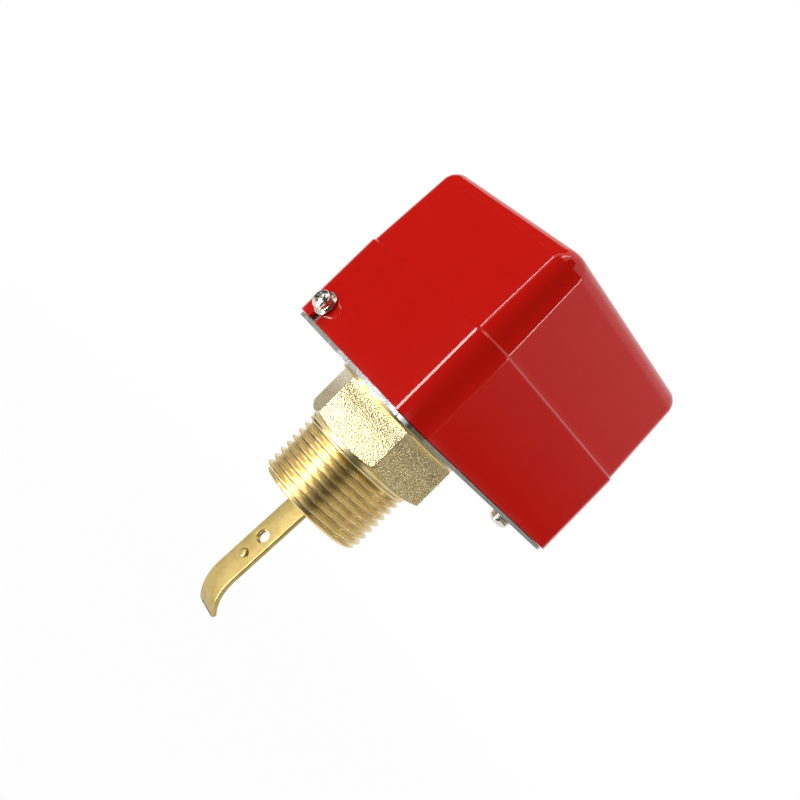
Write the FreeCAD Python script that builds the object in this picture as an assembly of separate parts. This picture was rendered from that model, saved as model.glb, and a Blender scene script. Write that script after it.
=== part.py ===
import FreeCAD, Part
import math
import os

# Paddle flow switch for a one-inch pipe tee.  All sizes are in millimetres.
# +Z runs up the axis of the pipe thread towards the cover, the origin is on that axis in the
# plane where the thread meets the hexagon, and +X is the way the water flows.

V = FreeCAD.Vector
X_AXIS = V(1, 0, 0)
Y_AXIS = V(0, 1, 0)
Z_AXIS = V(0, 0, 1)

# ---------------------------------------------------------------- driving dimensions

# pipe connection
thread_d = 33.249           # major diameter of a one-inch taper pipe thread
thread_len = 21.0
thread_chamfer = 1.2
hex_af = 35.8
hex_h = 12.3
hex_turn = -3.7             # degrees the hexagon ended up turned against the case
hex_chamfer_deg = 24.0
hex_chamfer_in = 0.4        # how far inside the flats the lower chamfer starts
hex_edge_r = 0.4
flange_d = 40.2
flange_t = 1.45
flange_ease = 0.2
bore_d = 25.0               # water side of the body, where the paddle arm swings
neck_d = 18.0               # dry side above the bellows
neck_shoulder_z = 6.0

# case
cover_len = 78.0
cover_wid = 63.0
cover_h = 55.8
cover_start_x = -28.0       # upstream end of the cover
skirt_h = 26.4              # from the rim up to the joggle
joggle = 0.5
joggle_h = 0.7
skirt_draft_deg = 0.7
upper_draft_deg = 3.2
cover_wall = 1.0
corner_r = 7.5
top_corner_r = 6.0
top_edge_r = 5.0
sheet_t = 1.0               # galvanised sheet of the base
plate_inset = 0.8           # how far the base plate stays inside the cover's outline
rim_gap = 0.25              # between the base plate and the cover's rim
wall_gap = 0.4              # between the cover's inside and the base's upturned walls
part_gap = 0.3              # between bodies that move past each other
spare = 1.0                 # how far a cutting shape runs past the face it cuts

# metric screws
m3_r = 1.45
m3_hole_r = 1.5
m3_clear_r = 1.65
m3_head_r = 2.8
m3_head_h = 2.1
spring_washer_r = 3.0
spring_washer_t = 0.8
spring_washer_gap = 0.5
flat_washer_r = 3.5
flat_washer_t = 0.5
screw_tip = 0.4             # chamfer at the tip of a screw
head_rim_share = 0.35       # upright part of a pan head, as a share of its height
head_bulge_share = 0.8      # radius halfway up the dome, as a share of the head's
head_bulge_rise = 0.72      # height of that point, as a share of the dome's
head_crown_share = 0.45     # flat crown, as a share of the head's radius
recess_share = 0.6          # reach of a cross recess, as a share of the head's radius
recess_w = 0.75             # width of one arm of a cross recess
recess_depth = 1.1
washer_play = 0.1           # between a screw's shank and a washer's hole
washer_slant = 0.6          # slope of a split washer's cut, as a share of its thickness

# screws that hold the cover: one in each end, diagonally opposite
cover_screw_inset = 2.5     # from the end of an end wall to the screw
cover_screw_h = 5.5         # above the cover's rim
cover_screw_len = 8.0
notch_play = 0.35           # between a cover screw and its open notch in the cover

# cable entry in the downstream end
cable_inset = 11.8          # from the end of the end wall to the cable
cable_h = 12.25             # above the base plate
cable_hole_d = 9.0
grommet_neck_r = 8.0
grommet_flange_r = 10.4
grommet_flange_t = 2.0
grommet_back_t = 1.6
entry_wall_h = 25.0
entry_wall_corner = 4.0
entry_wall_slope = 8.0
entry_wall_margin = 2.0     # of the tall part, beyond the grommet's flange
end_wall_inset = 8.7        # from the cover's side to the end of an end wall
low_wall_h = 5.0
lug_half = 3.6
lug_slope = 1.5
lug_foot_h = 10.0
lug_nut_wall = 1.1
lug_nut_h = 2.0

# swinging lever
pivot_z = 18.5
lean_deg = 4.0              # the arm rests leaning upstream by this much
swing_deg = 5.0
pin_r = 1.5
running_fit = 0.03
ear_gap = 18.0
ear_t = 1.2
ear_r = 4.4
yoke_half = 13.4
yoke_corner_r = 4.0
pin_end = 0.4               # of the pivot pin, beyond its clip
pin_head_t = 0.9
pin_head_rim = 0.95
pin_groove_depth = 0.35
clip_shift = 0.2            # from a bracket's face to the groove of a clip
clip_mouth = 2.0
yoke_hole_r = 8.5
body_screw_inset = 3.2884    # of the yoke's screws, from the edges of its foot
body_screw_depth = 6.0

arm_w = 8.7
arm_t = 1.5
arm_top_z = -13.0
arm_bend_z = -48.0
arm_bend_r = 12.5           # inside radius of the curved tip
arm_bend_deg = 54.0
arm_tip_chamfer = 1.7
arm_hole_z = -34.5
arm_hole_r = 1.75
arm_hole_chamfer = 0.35
arm_pip_z = -41.3
arm_pip_r = 1.35
arm_pip_h = 0.7
arm_pip_ease = 0.35
arm_pip_wall = 0.2

stem_boss_r = 5.2
stem_boss_z0 = -18.0
stem_boss_z1 = -11.6
stem_boss_ease = 0.6
stem_boss_neck = 1.4
stem_r = 3.0
stem_hub_r = 4.5
stem_hub_z0 = 12.5
stem_hub_neck = 1.2
stem_hub_drop = 1.6         # from the lever down to the top of the hub
stem_shoulder_ease = 0.6
stem_shoulder_r = 3.5
stem_thread_r = 2.5
stem_top_z = 32.6

lever_z = 25.0              # underside of the horizontal lever, with the arm upright
lever_t = 1.5
lever_half = 8.0
lever_back = 9.0
lever_rib_end = 23.5
lever_len = 31.0
lever_nose_half = 6.0
lever_rib_h = 3.4
lever_rib_t = 1.2
lever_taper = 2.0
lever_rib_back = 2.0
lever_rib_front = 3.0
nut_af = 8.0
nut_h = 4.0
nut_chamfer_share = 1.5     # of the corner's overhang, as depth of the crown
lock_washer_t = 1.0
lock_washer_r = 4.3

# bellows that seals the stem
bellows_folds = 6
bellows_out_r = 9.2
bellows_in_r = 6.6
bellows_wall = 0.35
bellows_len = 13.8
bellows_flange_r = 12.2
bellows_flange_t = 0.4
bellows_flat_share = 0.2    # flat top of a fold, as a share of its pitch
bellows_cap_t = 0.8
bellows_cap_hole_r = 5.4
seal_t = 0.5
ring_t = 3.0
ring_in_r = 9.7
ring_slot_w = 2.4
ring_slot_depth = 1.2
fit_gap = 0.1

# switch mechanism
web_y = -10.0               # face of the bracket that carries the switch
bracket_t = 1.2
foot_x0 = 22.0
foot_x1 = 42.0
foot_inset = 4.5            # from the cover's side to the end of the foot
foot_corner_r = 4.0
bracket_screw_x = 32.0
bracket_screw_inset = 4.0   # from the end of the foot to its screw
bracket_screw_len = 5.0
bracket_boss_r = 2.7
bracket_boss_h = 1.6
web_x0 = 4.0
web_x1 = 46.0
web_neck_z = 29.0
web_neck_slope = 5.0
web_corner = 4.0
web_over_switch = 1.0
shelf_z = 56.0              # underside of the shelf that carries the range screw
shelf_x1 = 18.0
shelf_y1 = 5.4
shelf_root = 4.0            # depth of the web's slope under the shelf
shelf_side = 6.0
gusset_h = 8.0
gusset_free = 4.0           # of the shelf, left free in front of the gusset
stop_inset = 2.5            # from the lever's nose to the middle of its stop
stop_half = 2.0
stop_reach = 7.0
stop_gap = 0.5

switch_x0 = 16.0
switch_len = 28.0
switch_h = 16.0
switch_z0 = 28.0
switch_body_t = 8.6
switch_lid_t = 1.7
switch_corner_r = 1.2
switch_lid_ease = 0.4
switch_screw_end = 2.4      # of a mounting screw, beyond the bracket
sheet_insulation_t = 0.4
sheet_margin = 0.6
plunger_x = 20.5
plunger_r = 1.5
plunger_len = 8.0
plunger_guide_wall = 1.4
plunger_guide_h = 0.4
plunger_room = 1.0          # over the plunger when it is fully pressed
switch_hole_dx = 22.2
switch_hole_dz = 10.3
switch_hole_edge_x = 2.8
switch_hole_edge_z = 2.7
terminal_pitch = 8.4
terminal_first_x = 23.8
terminal_w = 6.4
terminal_depth = 6.6
terminal_t = 0.8
terminal_lip_h = 2.0
terminal_screw_len = 4.4
terminal_head_r = 2.3
terminal_well = 4.2
barrier_t = 1.0
barrier_h = 3.4

range_x = 10.8
range_screw_r = 2.0
range_screw_z0 = 27.6
range_head_r = 3.9
range_head_h = 2.6
range_head_gap = 0.1
range_head_ease = 0.8
range_slot_w = 1.0
range_slot_depth = 1.0
range_groove_depth = 0.4
range_clip_rim = 1.3
clip_play = 0.05            # between a groove's floor and the inside of its clip
seat_z = 38.0
seat_t = 2.5
seat_half_x = 4.4
seat_y1 = 4.6
seat_collar_h = 1.6
seat_collar_play = 0.1
spring_wire = 1.0
spring_mean_r = 3.55
spring_turns = 6.0
spring_play = 0.02
clip_t = 0.8

earth_x = -17.0
earth_inset = 2.8           # from the end of an end wall to the earth screw
earth_r = 1.95
earth_head_r = 3.7
earth_head_h = 2.6
earth_boss_r = 3.3
earth_boss_h = 1.6
earth_washer_t = 0.8
earth_washer_rim = 0.6
earth_screw_short = 0.2     # how far the shank ends above the plate's underside

# ---------------------------------------------------------------- derived positions

thread_r = thread_d / 2
bore_r = bore_d / 2
neck_r = neck_d / 2
flange_z = hex_h
plate_z = flange_z + flange_t
plate_top = plate_z + sheet_t
rim_z = plate_top + rim_gap
joggle_z = rim_z + skirt_h
top_z = rim_z + cover_h
cover_x1 = cover_start_x + cover_len
cover_y1 = cover_wid / 2
end_wall_half = cover_y1 - end_wall_inset
cover_screw_y = end_wall_half - cover_screw_inset
cable_y = end_wall_half - cable_inset
earth_y = end_wall_half - earth_inset
foot_half = cover_y1 - foot_inset
bracket_screw_y = foot_half - bracket_screw_inset
screw_z = rim_z + cover_screw_h
cable_z = plate_top + cable_h
wall_out_x0 = cover_start_x + cover_wall + wall_gap
wall_out_x1 = cover_x1 - cover_wall - wall_gap
notch_half = m3_r + notch_play
cable_notch_r = grommet_flange_r + 2 * part_gap
yoke_top = plate_top + ear_t
foot_top = plate_top + bracket_t
switch_y1 = web_y + sheet_insulation_t + switch_body_t
switch_mid_y = web_y + sheet_insulation_t + switch_body_t / 2
switch_top = switch_z0 + switch_h
plunger_bore = plunger_r + 2 * running_fit
pivot = V(0, 0, pivot_z)
lean = math.radians(lean_deg)


def leaned(x, z):
    """Where a point of the upright lever comes to rest once the lever leans upstream."""
    dz = z - pivot_z
    return (x * math.cos(lean) + dz * math.sin(lean), pivot_z + dz * math.cos(lean) - x * math.sin(lean))


def lever_top(x):
    """Height of the lever's upper face where it passes x, with the arm at rest."""
    rise = lever_z + lever_t - pivot_z
    along = (x - rise * math.sin(lean)) / math.cos(lean)
    return pivot_z + rise * math.cos(lean) - along * math.sin(lean)


# ---------------------------------------------------------------- shared shapes


def cyl(r, length, at, axis=Z_AXIS):
    return Part.makeCylinder(r, length, at, axis)


def box(x0, x1, y0, y1, z0, z1):
    return Part.makeBox(x1 - x0, y1 - y0, z1 - z0, V(x0, y0, z0))


def turned(profile):
    """Revolve a closed outline of (radius, height) pairs about Z."""
    points = [V(r, 0, z) for r, z in profile]
    face = Part.Face(Part.makePolygon(points + points[:1]))
    return face.revolve(V(0, 0, 0), Z_AXIS, 360)


def rounded_outline(x0, x1, y0, y1, r, z):
    """Rectangle with rounded corners, as a closed wire at height z."""
    k = r * (1 - math.sqrt(0.5))
    edges = []
    edges.append(Part.LineSegment(V(x0 + r, y0, z), V(x1 - r, y0, z)).toShape())
    edges.append(Part.Arc(V(x1 - r, y0, z), V(x1 - k, y0 + k, z), V(x1, y0 + r, z)).toShape())
    edges.append(Part.LineSegment(V(x1, y0 + r, z), V(x1, y1 - r, z)).toShape())
    edges.append(Part.Arc(V(x1, y1 - r, z), V(x1 - k, y1 - k, z), V(x1 - r, y1, z)).toShape())
    edges.append(Part.LineSegment(V(x1 - r, y1, z), V(x0 + r, y1, z)).toShape())
    edges.append(Part.Arc(V(x0 + r, y1, z), V(x0 + k, y1 - k, z), V(x0, y1 - r, z)).toShape())
    edges.append(Part.LineSegment(V(x0, y1 - r, z), V(x0, y0 + r, z)).toShape())
    edges.append(Part.Arc(V(x0, y0 + r, z), V(x0 + k, y0 + k, z), V(x0 + r, y0, z)).toShape())
    return Part.Wire(edges)


def rounded_slab(x0, x1, y0, y1, r, z, t):
    return Part.Face(rounded_outline(x0, x1, y0, y1, r, z)).extrude(V(0, 0, t))


def plate_from(points, thickness):
    """Sheet cut to a closed polygon of 3-D points and thickened by a vector."""
    return Part.Face(Part.makePolygon(points + points[:1])).extrude(thickness)


def edges_along(solid, axis):
    """Straight edges of a solid that run along an axis."""
    return [e for e in solid.Edges if abs(e.tangentAt(e.FirstParameter).dot(axis)) > 0.9]


def hexagon(af, height, at, turn=0.0):
    r = af / math.sqrt(3)
    points = []
    for i in range(6):
        a = math.radians(turn + 60 * i)
        points.append(at + V(r * math.cos(a), r * math.sin(a), 0))
    return plate_from(points, V(0, 0, height))


def placed(shape, at, axis):
    """Turn a piece modelled along +Z so that it points along axis, then move it to at."""
    out = shape.copy()
    out.Placement = FreeCAD.Placement(at, FreeCAD.Rotation(Z_AXIS, axis))
    return out


def pan_screw(shank_r, length, head_r, head_h):
    """Pan-head screw along +Z: shank from 0 down to -length, domed head with a cross recess."""
    rise = head_h * head_rim_share
    dome = head_h - rise
    rim = V(head_r, 0, rise)
    mid = V(head_r * head_bulge_share, 0, rise + dome * head_bulge_rise)
    crown = V(head_r * head_crown_share, 0, head_h)
    edges = [
        Part.LineSegment(V(0, 0, 0), V(head_r, 0, 0)).toShape(),
        Part.LineSegment(V(head_r, 0, 0), rim).toShape(),
        Part.Arc(rim, mid, crown).toShape(),
        Part.LineSegment(crown, V(0, 0, head_h)).toShape(),
        Part.LineSegment(V(0, 0, head_h), V(0, 0, 0)).toShape(),
    ]
    head = Part.Face(Part.Wire(edges)).revolve(V(0, 0, 0), Z_AXIS, 360)
    arm = head_r * recess_share
    half = recess_w / 2
    low = head_h - recess_depth
    cross = box(-arm, arm, -half, half, low, head_h + spare)
    cross = cross.fuse(box(-half, half, -arm, arm, low, head_h + spare))
    head = head.cut(cross)
    shank = cyl(shank_r, length - screw_tip, V(0, 0, screw_tip - length))
    tip = Part.makeCone(shank_r - screw_tip, shank_r, screw_tip, V(0, 0, -length), Z_AXIS)
    return head.fuse([shank, tip]).removeSplitter()


def spring_washer(hole_r, out_r, t, gap):
    """Split washer lying on z = 0 with a slanting cut."""
    ring = cyl(out_r, t, V(0, 0, 0)).cut(cyl(hole_r, t, V(0, 0, 0)))
    slant = t * washer_slant
    points = [V(0, -gap / 2 - slant / 2, 0), V(0, gap / 2 - slant / 2, 0)]
    points += [V(0, gap / 2 + slant / 2, t), V(0, -gap / 2 + slant / 2, t)]
    return ring.cut(plate_from(points, V(out_r + spare, 0, 0)))


def small_spring_washer():
    return spring_washer(m3_r + washer_play, spring_washer_r, spring_washer_t, spring_washer_gap)


def flat_washer(hole_r, out_r, t):
    return cyl(out_r, t, V(0, 0, 0)).cut(cyl(hole_r, t, V(0, 0, 0)))


def save(name, shape):
    shape.exportStep("parts/" + name + ".step")


# ---------------------------------------------------------------- brass body and its seal


def brass_body():
    """Threaded spigot, hexagon and flange turned in one piece, with the stepped bore inside."""
    spigot = turned([
        (0, -thread_len),
        (thread_r - thread_chamfer, -thread_len),
        (thread_r, -thread_len + thread_chamfer),
        (thread_r, 0),
        (0, 0),
    ])
    nut = hexagon(hex_af, hex_h, V(0, 0, 0), hex_turn)
    nut = nut.makeFillet(hex_edge_r, edges_along(nut, Z_AXIS))
    start = hex_af / 2 - hex_chamfer_in
    reach = hex_af / math.sqrt(3) + spare
    rise = (reach - start) * math.tan(math.radians(hex_chamfer_deg))
    cone = turned([(0, 0), (start, 0), (reach, rise), (reach, hex_h), (0, hex_h)])
    nut = nut.common(cone)
    rim = flange_d / 2
    flange = turned([
        (0, flange_z),
        (rim - flange_ease, flange_z),
        (rim, flange_z + flange_ease),
        (rim, plate_z - flange_ease),
        (rim - flange_ease, plate_z),
        (0, plate_z),
    ])
    body = spigot.fuse([nut, flange]).removeSplitter()
    body = body.cut(cyl(bore_r, thread_len + neck_shoulder_z, V(0, 0, -thread_len)))
    body = body.cut(cyl(neck_r, plate_z, V(0, 0, 0)))
    for x, y in body_screw_points():
        deep = body_screw_depth + screw_tip
        body = body.cut(cyl(m3_hole_r, deep, V(x, y, plate_z - deep)))
    return body


def body_screw_points():
    """One screw near each corner of the yoke's foot, starting at +x +y and going round."""
    half = yoke_half - body_screw_inset
    return [(half, half), (-half, half), (-half, -half), (half, -half)]


def bellows():
    """Thin folded tube: a flange at the top, folds down to a cap that the stem passes through."""
    top = neck_shoulder_z - seal_t - bellows_flange_t
    pitch = (bellows_len - bellows_cap_t) / bellows_folds
    outer = [(bellows_flange_r, top + bellows_flange_t), (bellows_flange_r, top)]
    inner = [(bellows_in_r, top + bellows_flange_t)]
    flat = bellows_flat_share * pitch
    for i in range(bellows_folds):
        z = top - i * pitch
        high = z - (pitch - flat) / 2
        outer.append((bellows_in_r + bellows_wall, z))
        outer.append((bellows_out_r, high))
        outer.append((bellows_out_r, high - flat))
        inner.append((bellows_in_r, z))
        inner.append((bellows_out_r - bellows_wall, high))
        inner.append((bellows_out_r - bellows_wall, high - flat))
    cap_z = top - bellows_folds * pitch
    outer.append((bellows_in_r + bellows_wall, cap_z))
    outer.append((bellows_in_r + bellows_wall, cap_z - bellows_cap_t))
    outer.append((bellows_cap_hole_r, cap_z - bellows_cap_t))
    inner.append((bellows_in_r, cap_z))
    inner.append((bellows_cap_hole_r, cap_z))
    return turned(outer + inner[::-1])


def bellows_seal():
    z = neck_shoulder_z - seal_t
    return cyl(bellows_flange_r, seal_t, V(0, 0, z)).cut(cyl(ring_in_r, seal_t, V(0, 0, z)))


def bellows_ring():
    """Screwed ring that clamps the bellows flange, with two spanner slots in its lower face."""
    z = neck_shoulder_z - seal_t - bellows_flange_t - ring_t
    out_r = bore_r - fit_gap
    ring = cyl(out_r, ring_t, V(0, 0, z)).cut(cyl(ring_in_r, ring_t, V(0, 0, z)))
    half = ring_slot_w / 2
    return ring.cut(box(-out_r, out_r, -half, half, z - spare, z + ring_slot_depth))


# ---------------------------------------------------------------- sheet-metal base


def base_tray():
    """Base plate with a cable wall at the downstream end and a screw lug at each end."""
    x0 = cover_start_x + plate_inset
    x1 = cover_x1 - plate_inset
    y1 = cover_y1 - plate_inset
    tray = rounded_slab(x0, x1, -y1, y1, corner_r - plate_inset, plate_z, sheet_t)
    hx = wall_out_x0
    points = [V(hx, -end_wall_half, plate_top), V(hx, end_wall_half, plate_top)]
    points += [V(hx, end_wall_half, plate_top + lug_foot_h)]
    points += [V(hx, end_wall_half - lug_slope, screw_z + lug_half)]
    points += [V(hx, cover_screw_y - lug_half, screw_z + lug_half)]
    points += [V(hx, cover_screw_y - lug_half, plate_top + low_wall_h)]
    points += [V(hx, -end_wall_half, plate_top + low_wall_h)]
    tray = tray.fuse(plate_from(points, V(sheet_t, 0, 0)))
    hx = wall_out_x1
    top = plate_top + entry_wall_h
    step = cable_y - grommet_flange_r - entry_wall_margin
    points = [V(hx, -end_wall_half, plate_top), V(hx, end_wall_half, plate_top)]
    points += [V(hx, end_wall_half, top - entry_wall_corner)]
    points += [V(hx, end_wall_half - entry_wall_corner, top), V(hx, step, top)]
    points += [V(hx, step - entry_wall_slope, screw_z + lug_half)]
    points += [V(hx, -end_wall_half, screw_z + lug_half)]
    tray = tray.fuse(plate_from(points, V(-sheet_t, 0, 0)))
    nut_r = m3_hole_r + lug_nut_wall
    tray = tray.fuse(cyl(nut_r, lug_nut_h, V(wall_out_x0 + sheet_t, cover_screw_y, screw_z), X_AXIS))
    tray = tray.fuse(cyl(nut_r, lug_nut_h, V(wall_out_x1 - sheet_t, -cover_screw_y, screw_z), -X_AXIS))
    boss = cyl(earth_boss_r, earth_boss_h + sheet_t / 2, V(earth_x, earth_y, plate_top - sheet_t / 2))
    tray = tray.fuse(boss)
    through = sheet_t + 2 * spare
    below = plate_z - spare
    cuts = [cyl(neck_r + spare, through, V(0, 0, below))]
    entry = V(wall_out_x1 - sheet_t - spare, cable_y, cable_z)
    cuts.append(cyl(grommet_neck_r + fit_gap / 2, through, entry, X_AXIS))
    lug = lug_nut_h + through
    cuts.append(cyl(m3_hole_r, lug, V(wall_out_x0 - spare, cover_screw_y, screw_z), X_AXIS))
    cuts.append(cyl(m3_hole_r, lug, V(wall_out_x1 + spare, -cover_screw_y, screw_z), -X_AXIS))
    for x, y in body_screw_points():
        cuts.append(cyl(m3_clear_r, through, V(x, y, below)))
    for side in (-1, 1):
        cuts.append(cyl(m3_clear_r, through, V(bracket_screw_x, side * bracket_screw_y, below)))
    cuts.append(cyl(earth_r + fit_gap / 2, through + earth_boss_h, V(earth_x, earth_y, below)))
    return tray.cut(cuts).removeSplitter()


def grommet():
    """Rubber grommet in the cable wall: outer flange, neck, inner flange and a hole for the cable."""
    out = wall_out_x1
    back = out - sheet_t - fit_gap
    front = out + fit_gap
    hole = cable_hole_d / 2
    ring = cyl(grommet_flange_r, grommet_flange_t, V(front, cable_y, cable_z), X_AXIS)
    neck = front - back + 2 * fit_gap
    ring = ring.fuse(cyl(grommet_neck_r - fit_gap / 2, neck, V(back - fit_gap, cable_y, cable_z), X_AXIS))
    start = back - grommet_back_t
    ring = ring.fuse(cyl(grommet_flange_r, grommet_back_t, V(start, cable_y, cable_z), X_AXIS))
    deep = front + grommet_flange_t - start + 2 * spare
    ring = ring.cut(cyl(hole, deep, V(start - spare, cable_y, cable_z), X_AXIS))
    return ring.removeSplitter()


# ---------------------------------------------------------------- pressed cover


def shell_solid(inset, floor_z):
    """The cover's outside skin (inset 0) or inside skin (inset by the wall) as a solid."""
    lower = skirt_h * math.tan(math.radians(skirt_draft_deg))
    upper = (top_z - joggle_z) * math.tan(math.radians(upper_draft_deg))
    levels = [
        (floor_z, 0.0, corner_r),
        (joggle_z, lower, corner_r),
        (joggle_z + joggle_h, lower + joggle, corner_r - joggle),
        (top_z - inset, lower + joggle + upper, top_corner_r),
    ]
    wires = []
    for z, draw, r in levels:
        d = draw + inset
        wires.append(rounded_outline(
            cover_start_x + d, cover_x1 - d, -cover_y1 + d, cover_y1 - d, r - inset, z))
    solid = Part.makeLoft(wires, True, True)
    top_edges = [e for e in solid.Edges if e.BoundBox.ZMin > top_z - inset - 0.01]
    return solid.makeFillet(top_edge_r - inset, top_edges)


def cover():
    """Deep-drawn cover: upright skirt, outward joggle, tapered upper part, rounded top."""
    shell = shell_solid(0.0, rim_z).cut(shell_solid(cover_wall, rim_z - 0.01))
    reach = cover_wall + joggle + 2 * spare
    low = rim_z - spare
    for x, y in ((cover_start_x, cover_screw_y), (cover_x1, -cover_screw_y)):
        shell = shell.cut(box(x - reach, x + reach, y - notch_half, y + notch_half, low, screw_z))
        shell = shell.cut(cyl(notch_half, 2 * reach, V(x - reach, y, screw_z), X_AXIS))
    r = cable_notch_r
    start = cover_x1 - reach
    shell = shell.cut(box(start, cover_x1 + reach, cable_y - r, cable_y + r, low, cable_z))
    return shell.cut(cyl(r, 2 * reach, V(start, cable_y, cable_z), X_AXIS))


def cover_fasteners():
    """Screws, split washers and flat washers in the two ends, outermost piece first."""
    screws = []
    springs = []
    flats = []
    for x, y, axis in ((cover_start_x, cover_screw_y, -X_AXIS), (cover_x1, -cover_screw_y, X_AXIS)):
        at = V(x, y, screw_z) + axis * part_gap
        flats.append(placed(flat_washer(m3_r + washer_play, flat_washer_r, flat_washer_t), at, axis))
        at = at + axis * flat_washer_t
        springs.append(placed(small_spring_washer(), at, axis))
        at = at + axis * spring_washer_t
        screws.append(placed(pan_screw(m3_r, cover_screw_len, m3_head_r, m3_head_h), at, axis))
    return screws, springs, flats


# ---------------------------------------------------------------- pivot and swinging lever


def pivot_yoke():
    """Pressed yoke: a foot on the base plate and two ears that carry the pivot pin."""
    foot = rounded_slab(-yoke_half, yoke_half, -yoke_half, yoke_half, yoke_corner_r, plate_top, ear_t)
    through = ear_t + 2 * spare
    foot = foot.cut(cyl(yoke_hole_r, through, V(0, 0, plate_top - spare)))
    inner = ear_gap / 2
    for side in (-1, 1):
        y = side * inner if side > 0 else -inner - ear_t
        ear = box(-ear_r, ear_r, y, y + ear_t, plate_top, pivot_z)
        ear = ear.fuse(cyl(ear_r, ear_t, V(0, y, pivot_z), Y_AXIS))
        foot = foot.fuse(ear.cut(box(-ear_r, ear_r, y, y + ear_t, 0, plate_top)))
    reach = inner + ear_t + spare
    foot = foot.cut(cyl(pin_r + running_fit / 2, 2 * reach, V(0, -reach, pivot_z), Y_AXIS))
    for x, y in body_screw_points():
        foot = foot.cut(cyl(m3_clear_r, through, V(x, y, plate_top - spare)))
    return foot.removeSplitter()


def pivot_pin():
    """Pin through both ears, with a thin head at the near end and a groove at the far end."""
    face = ear_gap / 2 + ear_t
    groove_y = face + clip_shift
    start = -face - fit_gap
    pin = cyl(pin_r, groove_y + clip_t + pin_end - start, V(0, start, pivot_z), Y_AXIS)
    head = cyl(pin_r + pin_head_rim, pin_head_t, V(0, start - pin_head_t, pivot_z), Y_AXIS)
    groove = cyl(pin_r + spare, clip_t, V(0, groove_y, pivot_z), Y_AXIS)
    groove = groove.cut(cyl(pin_r - pin_groove_depth, clip_t, V(0, groove_y, pivot_z), Y_AXIS))
    return pin.fuse(head).removeSplitter().cut(groove)


def pin_clip():
    """Snap ring in the groove at the far end of the pivot pin, open on one side."""
    y = ear_gap / 2 + ear_t + clip_shift + fit_gap / 2
    t = clip_t - fit_gap
    rim = pin_r + pin_head_rim
    ring = cyl(rim, t, V(0, y, pivot_z), Y_AXIS)
    ring = ring.cut(cyl(pin_r - pin_groove_depth + clip_play, t, V(0, y, pivot_z), Y_AXIS))
    half = clip_mouth / 2
    return ring.cut(box(-half, half, y - spare, y + t + spare, pivot_z, pivot_z + rim + spare))


def body_screws():
    screw = pan_screw(m3_r, yoke_top - plate_z + body_screw_depth, m3_head_r, m3_head_h)
    return [placed(screw, V(x, y, yoke_top), Z_AXIS) for x, y in body_screw_points()]


def paddle_arm_upright():
    """Flat brass bar whose tip curves downstream, with a threaded hole and a locating pip."""
    half = arm_t / 2
    a = math.radians(arm_bend_deg)
    cx = half + arm_bend_r
    outer_r = arm_bend_r + arm_t
    front = V(-half, 0, arm_bend_z)
    front_mid = V(cx - outer_r * math.cos(a / 2), 0, arm_bend_z - outer_r * math.sin(a / 2))
    front_end = V(cx - outer_r * math.cos(a), 0, arm_bend_z - outer_r * math.sin(a))
    back = V(half, 0, arm_bend_z)
    back_mid = V(cx - arm_bend_r * math.cos(a / 2), 0, arm_bend_z - arm_bend_r * math.sin(a / 2))
    back_end = V(cx - arm_bend_r * math.cos(a), 0, arm_bend_z - arm_bend_r * math.sin(a))
    edges = [
        Part.LineSegment(V(-half, 0, arm_top_z), front).toShape(),
        Part.Arc(front, front_mid, front_end).toShape(),
        Part.LineSegment(front_end, back_end).toShape(),
        Part.Arc(back_end, back_mid, back).toShape(),
        Part.LineSegment(back, V(half, 0, arm_top_z)).toShape(),
        Part.LineSegment(V(half, 0, arm_top_z), V(-half, 0, arm_top_z)).toShape(),
    ]
    bar = Part.Face(Part.Wire(edges)).extrude(V(0, arm_w, 0))
    bar.translate(V(0, -arm_w / 2, 0))
    along = V(math.sin(a), 0, -math.cos(a))
    across = V(math.cos(a), 0, math.sin(a))
    c = arm_tip_chamfer
    for side in (-1, 1):
        tip = front_end + V(0, side * arm_w / 2, 0) - across * spare
        ahead = tip + along * spare
        points = [ahead, tip - along * c, ahead - V(0, side * (c + spare), 0)]
        bar = bar.cut(plate_from(points, across * (arm_t + 2 * spare)))
    bar = bar.cut(cyl(arm_hole_r, arm_t + 2 * spare, V(-half - spare, 0, arm_hole_z), X_AXIS))
    for x, axis in ((-half, X_AXIS), (half, -X_AXIS)):
        big = arm_hole_r + arm_hole_chamfer
        bar = bar.cut(Part.makeCone(big, arm_hole_r, arm_hole_chamfer, V(x, 0, arm_hole_z), axis))
    pip = cyl(arm_pip_r, arm_pip_h + half, V(-half - arm_pip_h, 0, arm_pip_z), X_AXIS)
    rim = [e for e in pip.Edges if e.BoundBox.XMax < -half - arm_pip_h + 0.01]
    pip = pip.makeFillet(arm_pip_ease, rim)
    dent = cyl(arm_pip_r - arm_pip_wall, arm_pip_h, V(half - arm_pip_h, 0, arm_pip_z), X_AXIS)
    return bar.fuse(pip).cut(dent).removeSplitter()


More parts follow.
